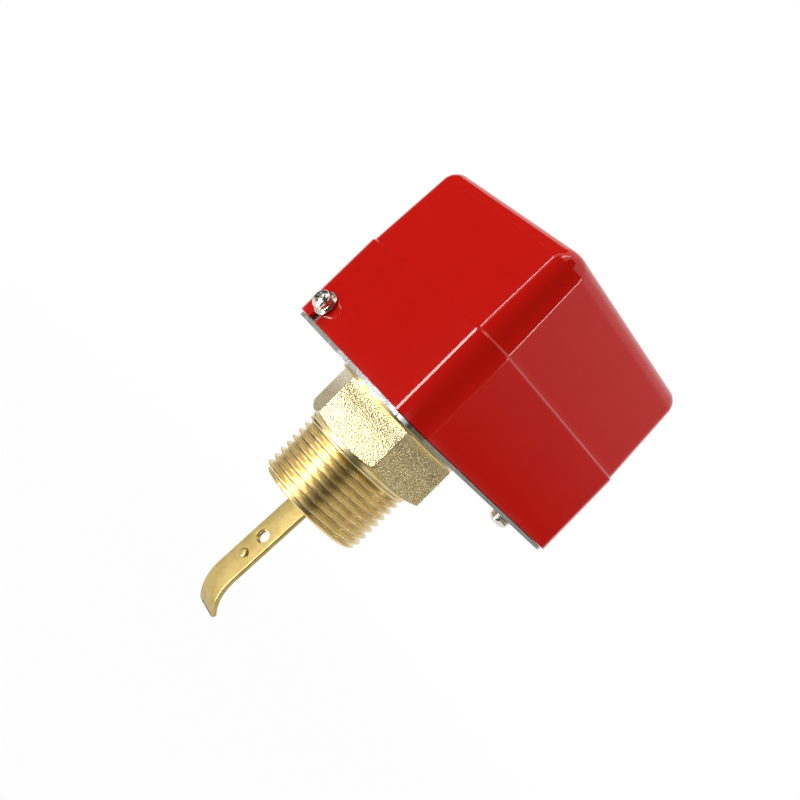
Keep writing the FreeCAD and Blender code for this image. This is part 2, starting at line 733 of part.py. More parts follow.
def stem_upright():
    """Turned stem: slotted boss for the arm, shaft, pivot hub, shoulder and threaded end."""
    stem = turned([
        (0, stem_boss_z0),
        (stem_boss_r - stem_boss_ease, stem_boss_z0),
        (stem_boss_r, stem_boss_z0 + stem_boss_ease),
        (stem_boss_r, stem_boss_z1 - stem_boss_neck),
        (stem_r, stem_boss_z1),
        (stem_r, stem_hub_z0),
        (stem_hub_r, stem_hub_z0 + stem_hub_neck),
        (stem_hub_r, lever_z - stem_hub_drop),
        (stem_shoulder_r, lever_z - stem_hub_drop + stem_shoulder_ease),
        (stem_shoulder_r, lever_z),
        (stem_thread_r, lever_z),
        (stem_thread_r, stem_top_z - screw_tip),
        (stem_thread_r - screw_tip, stem_top_z),
        (0, stem_top_z),
    ])
    gap = fit_gap / 4
    slot = box(-arm_t / 2 - gap, arm_t / 2 + gap, -arm_w / 2 - gap, arm_w / 2 + gap,
               stem_boss_z0 - spare, arm_top_z + gap)
    stem = stem.cut(slot)
    reach = stem_hub_r + spare
    return stem.cut(cyl(pin_r + running_fit, 2 * reach, V(0, -reach, pivot_z), Y_AXIS))


def main_lever_upright():
    """Pressed lever: ribbed along both sides, with a narrower nose under the switch."""
    z0 = lever_z
    z1 = lever_z + lever_t
    half = lever_half
    nose = lever_nose_half
    c = lever_taper
    points = [V(-lever_back, -half, z0), V(lever_rib_end, -half, z0), V(lever_rib_end + c, -nose, z0)]
    points += [V(lever_len - c, -nose, z0), V(lever_len, -nose + c, z0), V(lever_len, nose - c, z0)]
    points += [V(lever_len - c, nose, z0), V(lever_rib_end + c, nose, z0), V(lever_rib_end, half, z0)]
    points += [V(-lever_back, half, z0)]
    lever = plate_from(points, V(0, 0, lever_t))
    for side in (-1, 1):
        y = half - lever_rib_t if side > 0 else -half
        low = z1 - lever_rib_h
        outline = [V(-lever_back, y, z0), V(-lever_back + lever_rib_back, y, low)]
        outline += [V(lever_rib_end - lever_rib_front, y, low), V(lever_rib_end, y, z0)]
        lever = lever.fuse(plate_from(outline, V(0, lever_rib_t, 0)))
    hole = cyl(stem_thread_r + fit_gap / 2, lever_t + 2 * spare, V(0, 0, z0 - spare))
    return lever.removeSplitter().cut(hole)


def stem_washer_upright():
    at = V(0, 0, lever_z + lever_t)
    washer = spring_washer(stem_thread_r + washer_play, lock_washer_r, lock_washer_t, spring_washer_gap)
    return placed(washer, at, Z_AXIS)


def stem_nut_upright():
    at = V(0, 0, lever_z + lever_t + lock_washer_t)
    nut = hexagon(nut_af, nut_h, at, 30.0)
    corner = nut_af / math.sqrt(3)
    flat = nut_af / 2
    rise = (corner - flat) * nut_chamfer_share * math.tan(math.radians(30.0))
    crown = turned([
        (0, at.z),
        (flat, at.z),
        (corner, at.z + rise),
        (corner, at.z + nut_h - rise),
        (flat, at.z + nut_h),
        (0, at.z + nut_h),
    ])
    return nut.common(crown).cut(cyl(stem_thread_r + fit_gap / 4, nut_h, at))


def leaning(shape):
    out = shape.copy()
    out.rotate(pivot, Y_AXIS, lean_deg)
    return out


# ---------------------------------------------------------------- switch and range adjustment


def mechanism_bracket():
    """Foot on the base plate, upright web behind the switch, shelf, gusset and lever stop."""
    back_y = web_y - bracket_t
    foot = box(foot_x0, foot_x1, -foot_half, foot_half, plate_top, foot_top)
    foot = foot.makeFillet(foot_corner_r, edges_along(foot, Z_AXIS))
    shelf_top = shelf_z + bracket_t
    neck_z = web_neck_z - web_neck_slope
    web_top = switch_top + web_over_switch + web_corner
    outline = [V(foot_x0, back_y, plate_top), V(foot_x1, back_y, plate_top), V(foot_x1, back_y, neck_z)]
    outline += [V(web_x1, back_y, web_neck_z), V(web_x1, back_y, web_top - web_corner)]
    outline += [V(web_x1 - web_corner, back_y, web_top), V(shelf_x1 + shelf_side, back_y, web_top)]
    outline += [V(shelf_x1, back_y, shelf_z - shelf_root), V(shelf_x1, back_y, shelf_top)]
    outline += [V(web_x0, back_y, shelf_top), V(web_x0, back_y, web_neck_z), V(foot_x0, back_y, neck_z)]
    web = plate_from(outline, V(0, bracket_t, 0))
    shelf = box(web_x0, shelf_x1, back_y, shelf_y1, shelf_z, shelf_top)
    gusset = plate_from([
        V(web_x0, web_y, shelf_z),
        V(web_x0, shelf_y1 - gusset_free, shelf_z),
        V(web_x0, web_y, shelf_z - gusset_h),
    ], V(bracket_t, 0, 0))
    stop_x, stop_z = leaned(lever_len - stop_inset, lever_z)
    stop_top = stop_z - stop_gap
    stop = box(stop_x - stop_half, stop_x + stop_half, back_y, web_y + stop_reach,
               stop_top - bracket_t, stop_top)
    bracket = foot.fuse([web, shelf, gusset, stop])
    for side in (-1, 1):
        bracket = bracket.fuse(cyl(bracket_boss_r, bracket_boss_h + bracket_t,
                                   V(bracket_screw_x, side * bracket_screw_y, plate_top)))
    for side in (-1, 1):
        bracket = bracket.cut(cyl(m3_hole_r, bracket_boss_h + bracket_t + 2 * spare,
                                  V(bracket_screw_x, side * bracket_screw_y, plate_top - spare)))
    through = bracket_t + 2 * spare
    for x, z in switch_hole_points():
        bracket = bracket.cut(cyl(m3_hole_r, through, V(x, back_y - spare, z), Y_AXIS))
    bracket = bracket.cut(cyl(range_screw_r + running_fit, through, V(range_x, 0, shelf_z - spare)))
    return bracket.removeSplitter()


def bracket_fasteners():
    screws = []
    washers = []
    for side in (-1, 1):
        at = V(bracket_screw_x, side * bracket_screw_y, plate_z)
        washers.append(placed(small_spring_washer(), at, -Z_AXIS))
        at = at - Z_AXIS * spring_washer_t
        screws.append(placed(pan_screw(m3_r, bracket_screw_len, m3_head_r, m3_head_h), at, -Z_AXIS))
    return screws, washers


def switch_hole_points():
    x = switch_x0 + switch_hole_edge_x
    z = switch_top - switch_hole_edge_z
    return [(x, z), (x + switch_hole_dx, z - switch_hole_dz)]


def insulating_sheet():
    m = sheet_margin
    sheet = box(switch_x0 - m, switch_x0 + switch_len + m, web_y, web_y + sheet_insulation_t,
                switch_z0 - m, switch_top + web_over_switch)
    through = sheet_insulation_t + 2 * spare
    for x, z in switch_hole_points():
        sheet = sheet.cut(cyl(m3_clear_r, through, V(x, web_y - spare, z), Y_AXIS))
    return sheet


def terminal_xs():
    return [terminal_first_x + i * terminal_pitch for i in range(3)]


def switch_case():
    """Moulded body with terminal barriers on top and the plunger's guide hole below."""
    y0 = web_y + sheet_insulation_t
    x1 = switch_x0 + switch_len
    case = box(switch_x0, x1, y0, switch_y1, switch_z0, switch_top)
    case = case.makeFillet(switch_corner_r, edges_along(case, Y_AXIS))
    xs = terminal_xs()
    for x in (xs[0] - terminal_pitch / 2, xs[0] + terminal_pitch / 2, xs[1] + terminal_pitch / 2):
        case = case.fuse(box(x - barrier_t / 2, x + barrier_t / 2, y0, switch_y1,
                             switch_top - barrier_t / 2, switch_top + barrier_h))
    low = switch_z0 - plunger_guide_h
    guide = cyl(plunger_r + plunger_guide_wall, 2 * plunger_guide_h, V(plunger_x, switch_mid_y, low))
    pressed = plunger_x * math.tan(math.radians(swing_deg))
    end = lever_top(plunger_x) + part_gap + plunger_len + pressed + plunger_room
    well = cyl(plunger_bore, end - switch_z0 + spare, V(plunger_x, switch_mid_y, switch_z0 - spare))
    case = case.fuse(guide).cut(well)
    for x, z in switch_hole_points():
        case = case.cut(cyl(m3_clear_r, switch_body_t + 2 * spare, V(x, y0 - spare, z), Y_AXIS))
    for x in xs:
        low = switch_top - terminal_well
        case = case.cut(cyl(m3_hole_r, terminal_well + spare, V(x, switch_mid_y, low)))
    return case.removeSplitter()


def switch_lid():
    """Cover plate of the switch, edges eased, held by the two mounting screws."""
    x1 = switch_x0 + switch_len
    lid = box(switch_x0, x1, switch_y1, switch_y1 + switch_lid_t, switch_z0, switch_top)
    lid = lid.makeFillet(switch_corner_r, edges_along(lid, Y_AXIS))
    face = [e for e in lid.Edges if e.BoundBox.YMin > switch_y1 + switch_lid_t - 0.01]
    lid = lid.makeChamfer(switch_lid_ease, face)
    for x, z in switch_hole_points():
        lid = lid.cut(cyl(m3_clear_r, switch_lid_t + 2 * spare, V(x, switch_y1 - spare, z), Y_AXIS))
    return lid


def switch_plunger():
    return cyl(plunger_r, plunger_len, V(plunger_x, switch_mid_y, lever_top(plunger_x) + part_gap))


def switch_screws():
    out = []
    length = bracket_t + sheet_insulation_t + switch_body_t + switch_lid_t + switch_screw_end
    for x, z in switch_hole_points():
        at = V(x, switch_y1 + switch_lid_t, z)
        out.append(placed(pan_screw(m3_r, length, m3_head_r - washer_play, m3_head_h), at, Y_AXIS))
    return out


def terminals():
    """Three brass plates on top of the switch, each with a wire lip at its open edge."""
    out = []
    y0 = switch_mid_y - terminal_depth / 2
    y1 = switch_mid_y + terminal_depth / 2
    for x in terminal_xs():
        x0 = x - terminal_w / 2
        x1 = x + terminal_w / 2
        plate = box(x0, x1, y0, y1, switch_top, switch_top + terminal_t)
        lip = box(x0, x1, y1 - terminal_t, y1, switch_top, switch_top + terminal_lip_h)
        plate = plate.fuse(lip).removeSplitter()
        hole = cyl(m3_clear_r, terminal_t + 2 * spare, V(x, switch_mid_y, switch_top - spare))
        out.append(plate.cut(hole))
    return out


def terminal_screws():
    out = []
    for x in terminal_xs():
        at = V(x, switch_mid_y, switch_top + terminal_t)
        out.append(placed(pan_screw(m3_r, terminal_screw_len, terminal_head_r, m3_head_h), at, Z_AXIS))
    return out


def range_screw():
    """Adjusting screw that turns in the shelf without moving up or down."""
    head_z = shelf_z + bracket_t + range_head_gap
    head_top = head_z + range_head_h
    screw = cyl(range_screw_r, head_z - range_screw_z0 + range_head_gap, V(range_x, 0, range_screw_z0))
    head = cyl(range_head_r, range_head_h, V(range_x, 0, head_z))
    rim = [e for e in head.Edges if e.BoundBox.ZMin > head_top - range_head_gap]
    head = head.makeFillet(range_head_ease, rim)
    wide = range_head_r + spare
    half = range_slot_w / 2
    low = head_top - range_slot_depth
    head = head.cut(box(range_x - wide, range_x + wide, -half, half, low, head_top + spare))
    groove_z = shelf_z - clip_shift - clip_t
    groove = cyl(range_screw_r + spare, clip_t, V(range_x, 0, groove_z))
    groove = groove.cut(cyl(range_screw_r - range_groove_depth, clip_t, V(range_x, 0, groove_z)))
    return screw.fuse(head).removeSplitter().cut(groove)


def range_clip():
    """Snap ring under the shelf that keeps the range screw down."""
    z = shelf_z - clip_shift - clip_t + fit_gap / 2
    t = clip_t - fit_gap
    rim = range_screw_r + range_clip_rim
    ring = cyl(rim, t, V(range_x, 0, z))
    ring = ring.cut(cyl(range_screw_r - range_groove_depth + clip_play, t, V(range_x, 0, z)))
    half = clip_mouth / 2
    return ring.cut(box(range_x, range_x + rim + spare, -half, half, z - spare, z + t + spare))


def spring_seat():
    """Brass seat nut: a plate kept from turning by the bracket's web, with a collar for the spring."""
    y0 = web_y + part_gap
    plate = box(range_x - seat_half_x, range_x + seat_half_x, y0, seat_y1, seat_z, seat_z + seat_t)
    low = seat_z - seat_collar_h
    collar = cyl(spring_mean_r - spring_wire / 2 - seat_collar_play, seat_collar_h, V(range_x, 0, low))
    nut = plate.fuse(collar).removeSplitter()
    deep = seat_collar_h + seat_t + 2 * spare
    return nut.cut(cyl(range_screw_r + running_fit, deep, V(range_x, 0, low - spare)))


def range_spring():
    """Compression spring between the lever and the seat nut."""
    half = spring_wire / 2
    low = lever_top(range_x) + spring_mean_r * math.sin(lean) + part_gap + half
    high = seat_z - half - spring_play
    pitch = (high - low) / spring_turns
    helix = Part.makeHelix(pitch, high - low, spring_mean_r)
    climb = pitch / (2 * math.pi * spring_mean_r)
    circle = Part.Wire(Part.makeCircle(half, V(spring_mean_r, 0, 0), V(0, 1, climb)))
    coil = Part.Wire(helix.Edges).makePipeShell([circle], True, True)
    coil.translate(V(range_x, 0, low))
    return coil


def earth_screw():
    at = V(earth_x, earth_y, plate_top + earth_boss_h + earth_washer_t)
    length = earth_washer_t + earth_boss_h + sheet_t - earth_screw_short
    return placed(pan_screw(earth_r, length, earth_head_r, earth_head_h), at, Z_AXIS)


def earth_washer():
    at = V(earth_x, earth_y, plate_top + earth_boss_h)
    washer = flat_washer(earth_r + washer_play, earth_head_r + earth_washer_rim, earth_washer_t)
    return placed(washer, at, Z_AXIS)


# ---------------------------------------------------------------- write every piece

os.makedirs("parts", exist_ok=True)

save("brass_body", brass_body())
save("bellows", bellows())
save("bellows_seal", bellows_seal())
save("bellows_ring", bellows_ring())
save("base_tray", base_tray())
save("cable_grommet", grommet())
save("cover", cover())
cover_parts = cover_fasteners()
save("cover_screws", Part.makeCompound(cover_parts[0]))
save("cover_spring_washers", Part.makeCompound(cover_parts[1]))
save("cover_flat_washers", Part.makeCompound(cover_parts[2]))
save("pivot_yoke", pivot_yoke())
save("pivot_pin", pivot_pin())
save("pin_clip", pin_clip())
save("body_screws", Part.makeCompound(body_screws()))
save("paddle_arm", leaning(paddle_arm_upright()))
save("stem", leaning(stem_upright()))
save("main_lever", leaning(main_lever_upright()))
save("stem_washer", leaning(stem_washer_upright()))
save("stem_nut", leaning(stem_nut_upright()))
save("mechanism_bracket", mechanism_bracket())
bracket_parts = bracket_fasteners()
save("bracket_screws", Part.makeCompound(bracket_parts[0]))
save("bracket_washers", Part.makeCompound(bracket_parts[1]))
save("insulating_sheet", insulating_sheet())
save("switch_case", switch_case())
save("switch_lid", switch_lid())
save("switch_plunger", switch_plunger())
save("switch_screws", Part.makeCompound(switch_screws()))
save("terminals", Part.makeCompound(terminals()))
save("terminal_screws", Part.makeCompound(terminal_screws()))
save("range_screw", range_screw())
save("range_clip", range_clip())
save("spring_seat", spring_seat())
save("range_spring", range_spring())
save("earth_screw", earth_screw())
save("earth_washer", earth_washer())
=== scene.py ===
# %% [markdown]
# # Dressing a paddle flow switch
#
# The solid model gives every size and every joint. This script gives the looks: it loads the
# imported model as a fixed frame, replaces the few pieces whose fine detail a solid model leaves
# out (the pipe thread, the pressed cover, the rolled arm, the screws and the spring), paints
# everything, and sets up a small studio.
#
# All lengths here are written in millimetres and turned into Blender's metres by one factor.

# %% Load the frame
import math

import bmesh
import bpy
from mathutils import Matrix, Vector


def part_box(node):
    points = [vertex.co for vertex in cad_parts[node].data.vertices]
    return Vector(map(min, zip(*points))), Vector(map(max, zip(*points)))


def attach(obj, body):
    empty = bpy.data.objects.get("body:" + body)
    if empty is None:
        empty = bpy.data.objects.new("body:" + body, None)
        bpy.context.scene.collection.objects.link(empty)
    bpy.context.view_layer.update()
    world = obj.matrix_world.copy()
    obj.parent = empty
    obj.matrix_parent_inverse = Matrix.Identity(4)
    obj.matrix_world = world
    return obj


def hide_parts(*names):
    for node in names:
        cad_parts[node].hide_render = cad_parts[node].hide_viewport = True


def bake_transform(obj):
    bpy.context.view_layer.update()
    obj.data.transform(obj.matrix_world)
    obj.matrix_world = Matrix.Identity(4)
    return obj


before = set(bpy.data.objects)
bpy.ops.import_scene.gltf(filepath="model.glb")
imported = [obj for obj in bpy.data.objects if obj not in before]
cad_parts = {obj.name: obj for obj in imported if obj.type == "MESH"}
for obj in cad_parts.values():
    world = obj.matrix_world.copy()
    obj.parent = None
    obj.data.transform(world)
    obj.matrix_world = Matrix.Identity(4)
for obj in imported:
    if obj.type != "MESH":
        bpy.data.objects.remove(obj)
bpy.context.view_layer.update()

MM = 0.001


# %% [markdown]
# ## Shader sums as Python sums
#
# A material is a graph of small nodes. Wiring it by hand hides the idea, so one class wraps an
# output socket and lets it be added, multiplied and compared like a number. Every other node
# comes from one method, `add`, which sets a node's settings first and its sockets after.


# %% A socket that can be used in a sum
class Wire:
    """An output socket of a node, usable in Python sums with numbers and other wires."""

    def __init__(self, finish, socket):
        self.finish = finish
        self.socket = socket

    def sum(self, kind, a, b=0.0):
        return self.finish.add("ShaderNodeMath", {"operation": kind}, {0: a, 1: b})

    def __add__(self, other):
        return self.sum("ADD", self, other)

    def __radd__(self, other):
        return self.sum("ADD", other, self)

    def __sub__(self, other):
        return self.sum("SUBTRACT", self, other)

    def __rsub__(self, other):
        return self.sum("SUBTRACT", other, self)

    def __mul__(self, other):
        return self.sum("MULTIPLY", self, other)

    def __rmul__(self, other):
        return self.sum("MULTIPLY", other, self)

    def __truediv__(self, other):
        return self.sum("DIVIDE", self, other)

    def above(self, edge, soft):
        """0 below edge, 1 above it, turning smoothly over a width of soft."""
        settings = {"interpolation_type": "SMOOTHSTEP"}
        return self.finish.add("ShaderNodeMapRange", settings,
                               {"Value": self, "From Min": edge - soft / 2, "From Max": edge + soft / 2})

    def below(self, edge, soft):
        return 1 - self.above(edge, soft)

    def larger(self, other):
        return self.sum("MAXIMUM", self, other)


# %% The paint kit: one object for each finish
class Finish:
    """One material, or the world. Coordinates are the object's own, so that a pattern keeps its size."""

    def __init__(self, name, world=None):
        self.material = world if world is not None else bpy.data.materials.new(name)
        self.material.use_nodes = True
        self.nodes = self.material.node_tree.nodes
        self.links = self.material.node_tree.links
        self.nodes.clear()
        self.place = self.add("ShaderNodeTexCoord", {}, {}, "Object")

    def add(self, kind, settings, inputs, out=0):
        node = self.nodes.new(kind)
        for key, value in settings.items():
            setattr(node, key, value)
        for key, value in inputs.items():
            if isinstance(value, Wire):
                self.links.new(value.socket, node.inputs[key])
            elif value is not None:
                node.inputs[key].default_value = value
        return Wire(self, node.outputs[out]) if len(node.outputs) else None

    def noise(self, size_mm, detail=3.0, rough=0.5, stretch=None, bend=0.0):
        """Cloudy noise whose lumps are about size_mm across; stretch scales the three axes."""
        where = self.place
        if stretch is not None:
            where = self.add("ShaderNodeVectorMath", {"operation": "MULTIPLY"}, {0: self.place, 1: stretch})
        return self.add("ShaderNodeTexNoise", {},
                        {"Vector": where, "Scale": 1.0 / (size_mm * MM), "Detail": detail,
                         "Roughness": rough, "Distortion": bend}, "Fac")

    def cells(self, size_mm):
        """Distance to the middle of each cell of a random pattern."""
        sockets = {"Vector": self.place, "Scale": 1.0 / (size_mm * MM)}
        return self.add("ShaderNodeTexVoronoi", {}, sockets, "Distance")

    def axis(self, letter):
        return self.add("ShaderNodeSeparateXYZ", {}, {0: self.place}, letter)

    def blend(self, share, first, second):
        """Mix two colours (or colour wires) by a share from 0 to 1."""
        def colour(value):
            return value if isinstance(value, Wire) else (*value, 1.0)
        sockets = {0: share, 6: colour(first), 7: colour(second)}
        return self.add("ShaderNodeMix", {"data_type": "RGBA"}, sockets, 2)

    def bump(self, height, depth_mm, strength=1.0):
        sockets = {"Strength": strength, "Distance": depth_mm * MM, "Height": height}
        return self.add("ShaderNodeBump", {}, sockets)

    def surface(self, colour, rough, metal=0.0, normal=None, **constants):
        sockets = {"Base Color": colour if isinstance(colour, Wire) else (*colour, 1.0),
                   "Roughness": rough, "Metallic": metal}
        if normal is not None:
            sockets["Normal"] = normal
        for key, value in constants.items():
            sockets[key.replace("_", " ")] = value
        shader = self.add("ShaderNodeBsdfPrincipled", {}, sockets)
        self.add("ShaderNodeOutputMaterial", {}, {"Surface": shader})
        return self.material

    def seen(self):
        """1 for rays that show a thing directly, in a mirror or through glass, 0 for scattered light."""
        ways = [self.add("ShaderNodeLightPath", {}, {}, "Is " + way) for way in
                ("Camera Ray", "Glossy Ray", "Transmission Ray")]
        return ways[0].larger(ways[1]).larger(ways[2])


# %% [markdown]
# ## Finishes
#
# Each finish is written as the trade would describe it. The cover is stoved red enamel: almost
# flat colour, a faint orange peel, and fine dust. The brass comes in three states: shot-blasted
# on the hexagon, bright turned on the thread, and rolled on the arm, where handling has left
# brown clouds. A pattern that depends only on place keeps still when a joint moves.


# %% Red enamel of the cover
def red_enamel():
    f = Finish("red_enamel")
    cloud = f.noise(18.0, 2.0)
    speck = f.noise(0.35, 2.0).above(0.74, 0.03)
    colour = f.blend(cloud, (0.59, 0.0055, 0.0020), (0.64, 0.0080, 0.0030))
    colour = f.blend(speck * 0.30, colour, (0.33, 0.004, 0.003))
    peel = f.noise(2.2, 1.0) + f.noise(0.5, 1.0) * 0.12
    rough = 0.04 + f.noise(6.0, 3.0) * 0.05
    return f.surface(colour, rough, 0.0, f.bump(peel, 0.010, 0.25), Specular_IOR_Level=0.45)


enamel = red_enamel()
print("made", enamel.name)


# %% Brass: shot-blasted, turned, rolled
def blasted_brass():
    """The hexagon: cast bar blasted with fine shot, which sparkles where a pit faces a lamp."""
    f = Finish("blasted_brass")
    pits = f.noise(0.42, 3.0, 0.65)
    grit = f.cells(0.36)
    cloud = f.noise(5.0, 3.0)
    colour = f.blend(cloud, (0.78, 0.65, 0.36), (0.84, 0.72, 0.43))
    colour = f.blend(pits.below(0.46, 0.06) * 0.70, colour, (0.46, 0.35, 0.15))
    scratch = f.noise(2.4, 2.0, stretch=(1.0, 1.0, 9.0)).above(0.72, 0.02)
    height = pits + grit * 0.5 - scratch * 0.3
    rough = 0.15 + cloud * 0.06
    return f.surface(colour, rough, 1.0, f.bump(height, 0.12, 0.8))


def turned_brass(name, pale, dark, ring_mm=0.09):
    """Lathe-turned brass: fine rings round the axis, with a brown film in the low places."""
    f = Finish(name)
    rings = f.noise(ring_mm, 1.0, stretch=(0.06, 0.06, 1.0))
    film = f.noise(4.5, 3.0, 0.55)
    colour = f.blend(film.above(0.58, 0.35) * 0.7, pale, dark)
    rough = 0.23 + film * 0.10
    return f.surface(colour, rough, 1.0, f.bump(rings, 0.005, 0.3))


def rolled_brass():
    """The arm: rolled bar, drawn lines along its length, brown clouds and a dark grey-brown end."""
    f = Finish("rolled_brass")
    lines = f.noise(0.25, 2.0, stretch=(1.0, 1.0, 0.05))
    cloud = f.noise(3.6, 4.0, 0.6)
    stain = f.noise(1.1, 4.0, 0.7)
    colour = f.blend(cloud.above(0.50, 0.35), (0.56, 0.43, 0.17), (0.46, 0.34, 0.12))
    colour = f.blend(stain.above(0.62, 0.10) * 0.45, colour, (0.33, 0.21, 0.07))
    rough = 0.24 + cloud * 0.16 + lines * 0.05
    return f.surface(colour, rough, 1.0, f.bump(lines + stain * 0.6, 0.02, 0.4))


def dark_flat_brass():
    """The shallow flat at the arm's end, dark grey-brown."""
    f = Finish("dark_flat_brass")
    cloud = f.noise(0.9, 3.0, 0.6)
    streak = f.noise(0.3, 2.0, stretch=(1.0, 0.1, 1.0))
    # Dark grey-brown colour of the flat at the arm's end.
    colour = f.blend(cloud, (0.135, 0.075, 0.055), (0.24, 0.15, 0.11))
    return f.surface(colour, 0.42 + streak * 0.2, 0.6, f.bump(streak, 0.03, 0.5))


hex_brass = blasted_brass()
thread_brass = turned_brass("turned_brass", (0.80, 0.65, 0.35), (0.66, 0.50, 0.22))
stem_brass = turned_brass("stem_brass", (0.74, 0.58, 0.30), (0.50, 0.36, 0.15), 0.15)
terminal_brass = turned_brass("terminal_brass", (0.80, 0.66, 0.38), (0.66, 0.50, 0.24), 0.2)
arm_brass = rolled_brass()
end_brass = dark_flat_brass()
print("made six brasses")


# %% Zinc, nickel and spring steel
def zinc_sheet(name, tone, rough_low):
    """Galvanised sheet: faint crystals of zinc, each a slightly different grey."""
    f = Finish(name)
    crystal = f.add("ShaderNodeTexVoronoi", {}, {"Vector": f.place, "Scale": 1.0 / (3.0 * MM)}, "Color")
    shade = f.add("ShaderNodeSeparateXYZ", {}, {0: crystal}, "X")
    cloud = f.noise(2.0, 4.0, 0.6)
    bright = tuple(c * tone for c in (0.72, 0.73, 0.74))
    dull = tuple(c * tone for c in (0.55, 0.56, 0.58))
    colour = f.blend(shade * 0.6 + cloud * 0.4, dull, bright)
    scratch = f.noise(1.5, 2.0, stretch=(1.0, 8.0, 1.0)).above(0.72, 0.02)
    rough = rough_low + shade * 0.08 + cloud * 0.08
    return f.surface(colour, rough, 1.0, f.bump(cloud - scratch * 0.4, 0.01, 0.3))


def plated(name, colour_a, colour_b, rough_low):
    """Barrel-plated small parts: bright, with tiny dents from tumbling together."""
    f = Finish(name)
    dent = f.noise(0.5, 3.0, 0.6)
    cloud = f.noise(1.6, 3.0)
    colour = f.blend(cloud, colour_a, colour_b)
    rough = rough_low + dent * 0.14
    return f.surface(colour, rough, 1.0, f.bump(dent, 0.02, 0.5))


tray_zinc = zinc_sheet("galvanised_sheet", 0.90, 0.12)
bracket_zinc = zinc_sheet("plated_bracket", 0.9, 0.30)
nickel = plated("nickel_plate", (0.80, 0.77, 0.70), (0.66, 0.63, 0.57), 0.12)
ground_steel = plated("ground_steel", (0.62, 0.62, 0.63), (0.52, 0.52, 0.53), 0.22)
spring_steel = plated("spring_steel", (0.42, 0.43, 0.45), (0.33, 0.33, 0.35), 0.25)
print("made five steels")


# %% Plastics, rubber and pressed board
def moulded(name, low, high, rough_low, grain_mm=0.4, depth_mm=0.02):
    """Plastic or rubber out of a mould: fine grain, and colour drawn out by the flow."""
    f = Finish(name)
    grain = f.noise(grain_mm, 3.0, 0.6)
    flow = f.noise(6.0, 3.0, 0.5, bend=0.6)
    colour = f.blend(flow, low, high)
    rough = rough_low + grain * 0.18
    return f.surface(colour, rough, 0.0, f.bump(grain, depth_mm, 0.5))


black_phenolic = moulded("black_phenolic", (0.018, 0.018, 0.020), (0.032, 0.031, 0.030), 0.34)
brown_phenolic = moulded("brown_phenolic", (0.075, 0.030, 0.014), (0.125, 0.055, 0.026), 0.32)
red_button = moulded("red_button", (0.50, 0.045, 0.030), (0.60, 0.070, 0.045), 0.22)
grommet_rubber = moulded("grommet_rubber", (0.020, 0.020, 0.021), (0.040, 0.039, 0.038), 0.55, 0.8, 0.04)
seal_rubber = moulded("seal_rubber", (0.016, 0.016, 0.016), (0.030, 0.030, 0.030), 0.60, 0.6, 0.03)


def pressed_board():
    """Insulating board: pale fibres pressed flat."""
    f = Finish("pressed_board")
    fibre = f.noise(0.5, 4.0, 0.7, stretch=(0.25, 1.0, 1.0), bend=1.5)
    colour = f.blend(fibre, (0.56, 0.53, 0.42), (0.70, 0.67, 0.57))
    return f.surface(colour, 0.62 + fibre * 0.2, 0.0, f.bump(fibre, 0.03, 0.6))


board = pressed_board()
print("made five plastics and the board")

# %% [markdown]
# ## Building with rings
#
# Nearly every piece here can be thought of as a stack of rings: a turned part is a stack of
# circles, the pressed cover a stack of rounded rectangles, a spring a stack of small circles
# along a helix. So one function joins equal rings with quads, and the pieces only have to say
# where their rings lie. Edges sharper than a set angle stay crisp.


# %% Join a stack of rings into a mesh
def ring_mesh(name, rings, material, body, sharp_deg=35.0, loop=False):
    """Rings are equal lists of points in mm. A loop joins the last to the first; else both ends close."""
    count = len(rings[0])
    points = [tuple(c * MM for c in p) for ring in rings for p in ring]
    faces = []
    for i in range(len(rings) - 1 + (1 if loop else 0)):
        a, b = i * count, ((i + 1) % len(rings)) * count
        for j in range(count):
            k = (j + 1) % count
            faces.append((a + j, a + k, b + k, b + j))
    if not loop:
        faces.append(tuple(range(count))[::-1])
        faces.append(tuple((len(rings) - 1) * count + j for j in range(count)))
    mesh = bpy.data.meshes.new(name)
    mesh.from_pydata(points, [], faces)
    return finish_mesh(name, mesh, material, body, sharp_deg)


def finish_mesh(name, mesh, material, body, sharp_deg=35.0):
    bm = bmesh.new()
    bm.from_mesh(mesh)
    bmesh.ops.recalc_face_normals(bm, faces=bm.faces)
    bm.to_mesh(mesh)
    bm.free()
    mesh.shade_smooth()
    mesh.set_sharp_from_angle(angle=math.radians(sharp_deg))
    piece = bpy.data.objects.new(name, mesh)
    bpy.context.scene.collection.objects.link(piece)
    if material is not None:
        mesh.materials.clear()
        mesh.materials.append(material)
    if body is not None:
        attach(piece, body)
    return piece


def circle(r, z, angles):
    return [(r * math.cos(a), r * math.sin(a), z) for a in angles]


def even_angles(count):
    return [2 * math.pi * i / count for i in range(count)]


def turned_rings(profile, count=48):
    """Rings for a turned part from (radius, height) pairs."""
    return [circle(max(r, 0.001), z, even_angles(count)) for r, z in profile]


def cut(piece, cutters):
    """Take the cutters out of a piece for good, then drop them."""
    for cutter in cutters:
        change = piece.modifiers.new("cut", "BOOLEAN")
        change.operation = "DIFFERENCE"
        change.solver = "EXACT"
        change.material_mode = "TRANSFER" if len(cutter.data.materials) else "INDEX"
        change.object = cutter
    evaluated = piece.evaluated_get(bpy.context.evaluated_depsgraph_get())
    mesh = bpy.data.meshes.new_from_object(evaluated)
    piece.modifiers.clear()
    old = piece.data
    piece.data = mesh
    bpy.data.meshes.remove(old)
    for cutter in cutters:
        bpy.data.objects.remove(cutter)
    return piece


def tidy_edges(piece, sharp_deg):
    piece.data.shade_smooth()
    piece.data.set_sharp_from_angle(angle=math.radians(sharp_deg))
    return piece


def block(name, x0, x1, y0, y1, z0, z1):
    """A plain block, used only to cut with."""
    corners = [(x0, y0), (x1, y0), (x1, y1), (x0, y1)]
    rings = [[(x, y, z) for x, y in corners] for z in (z0, z1)]
    return ring_mesh(name, rings, None, None)


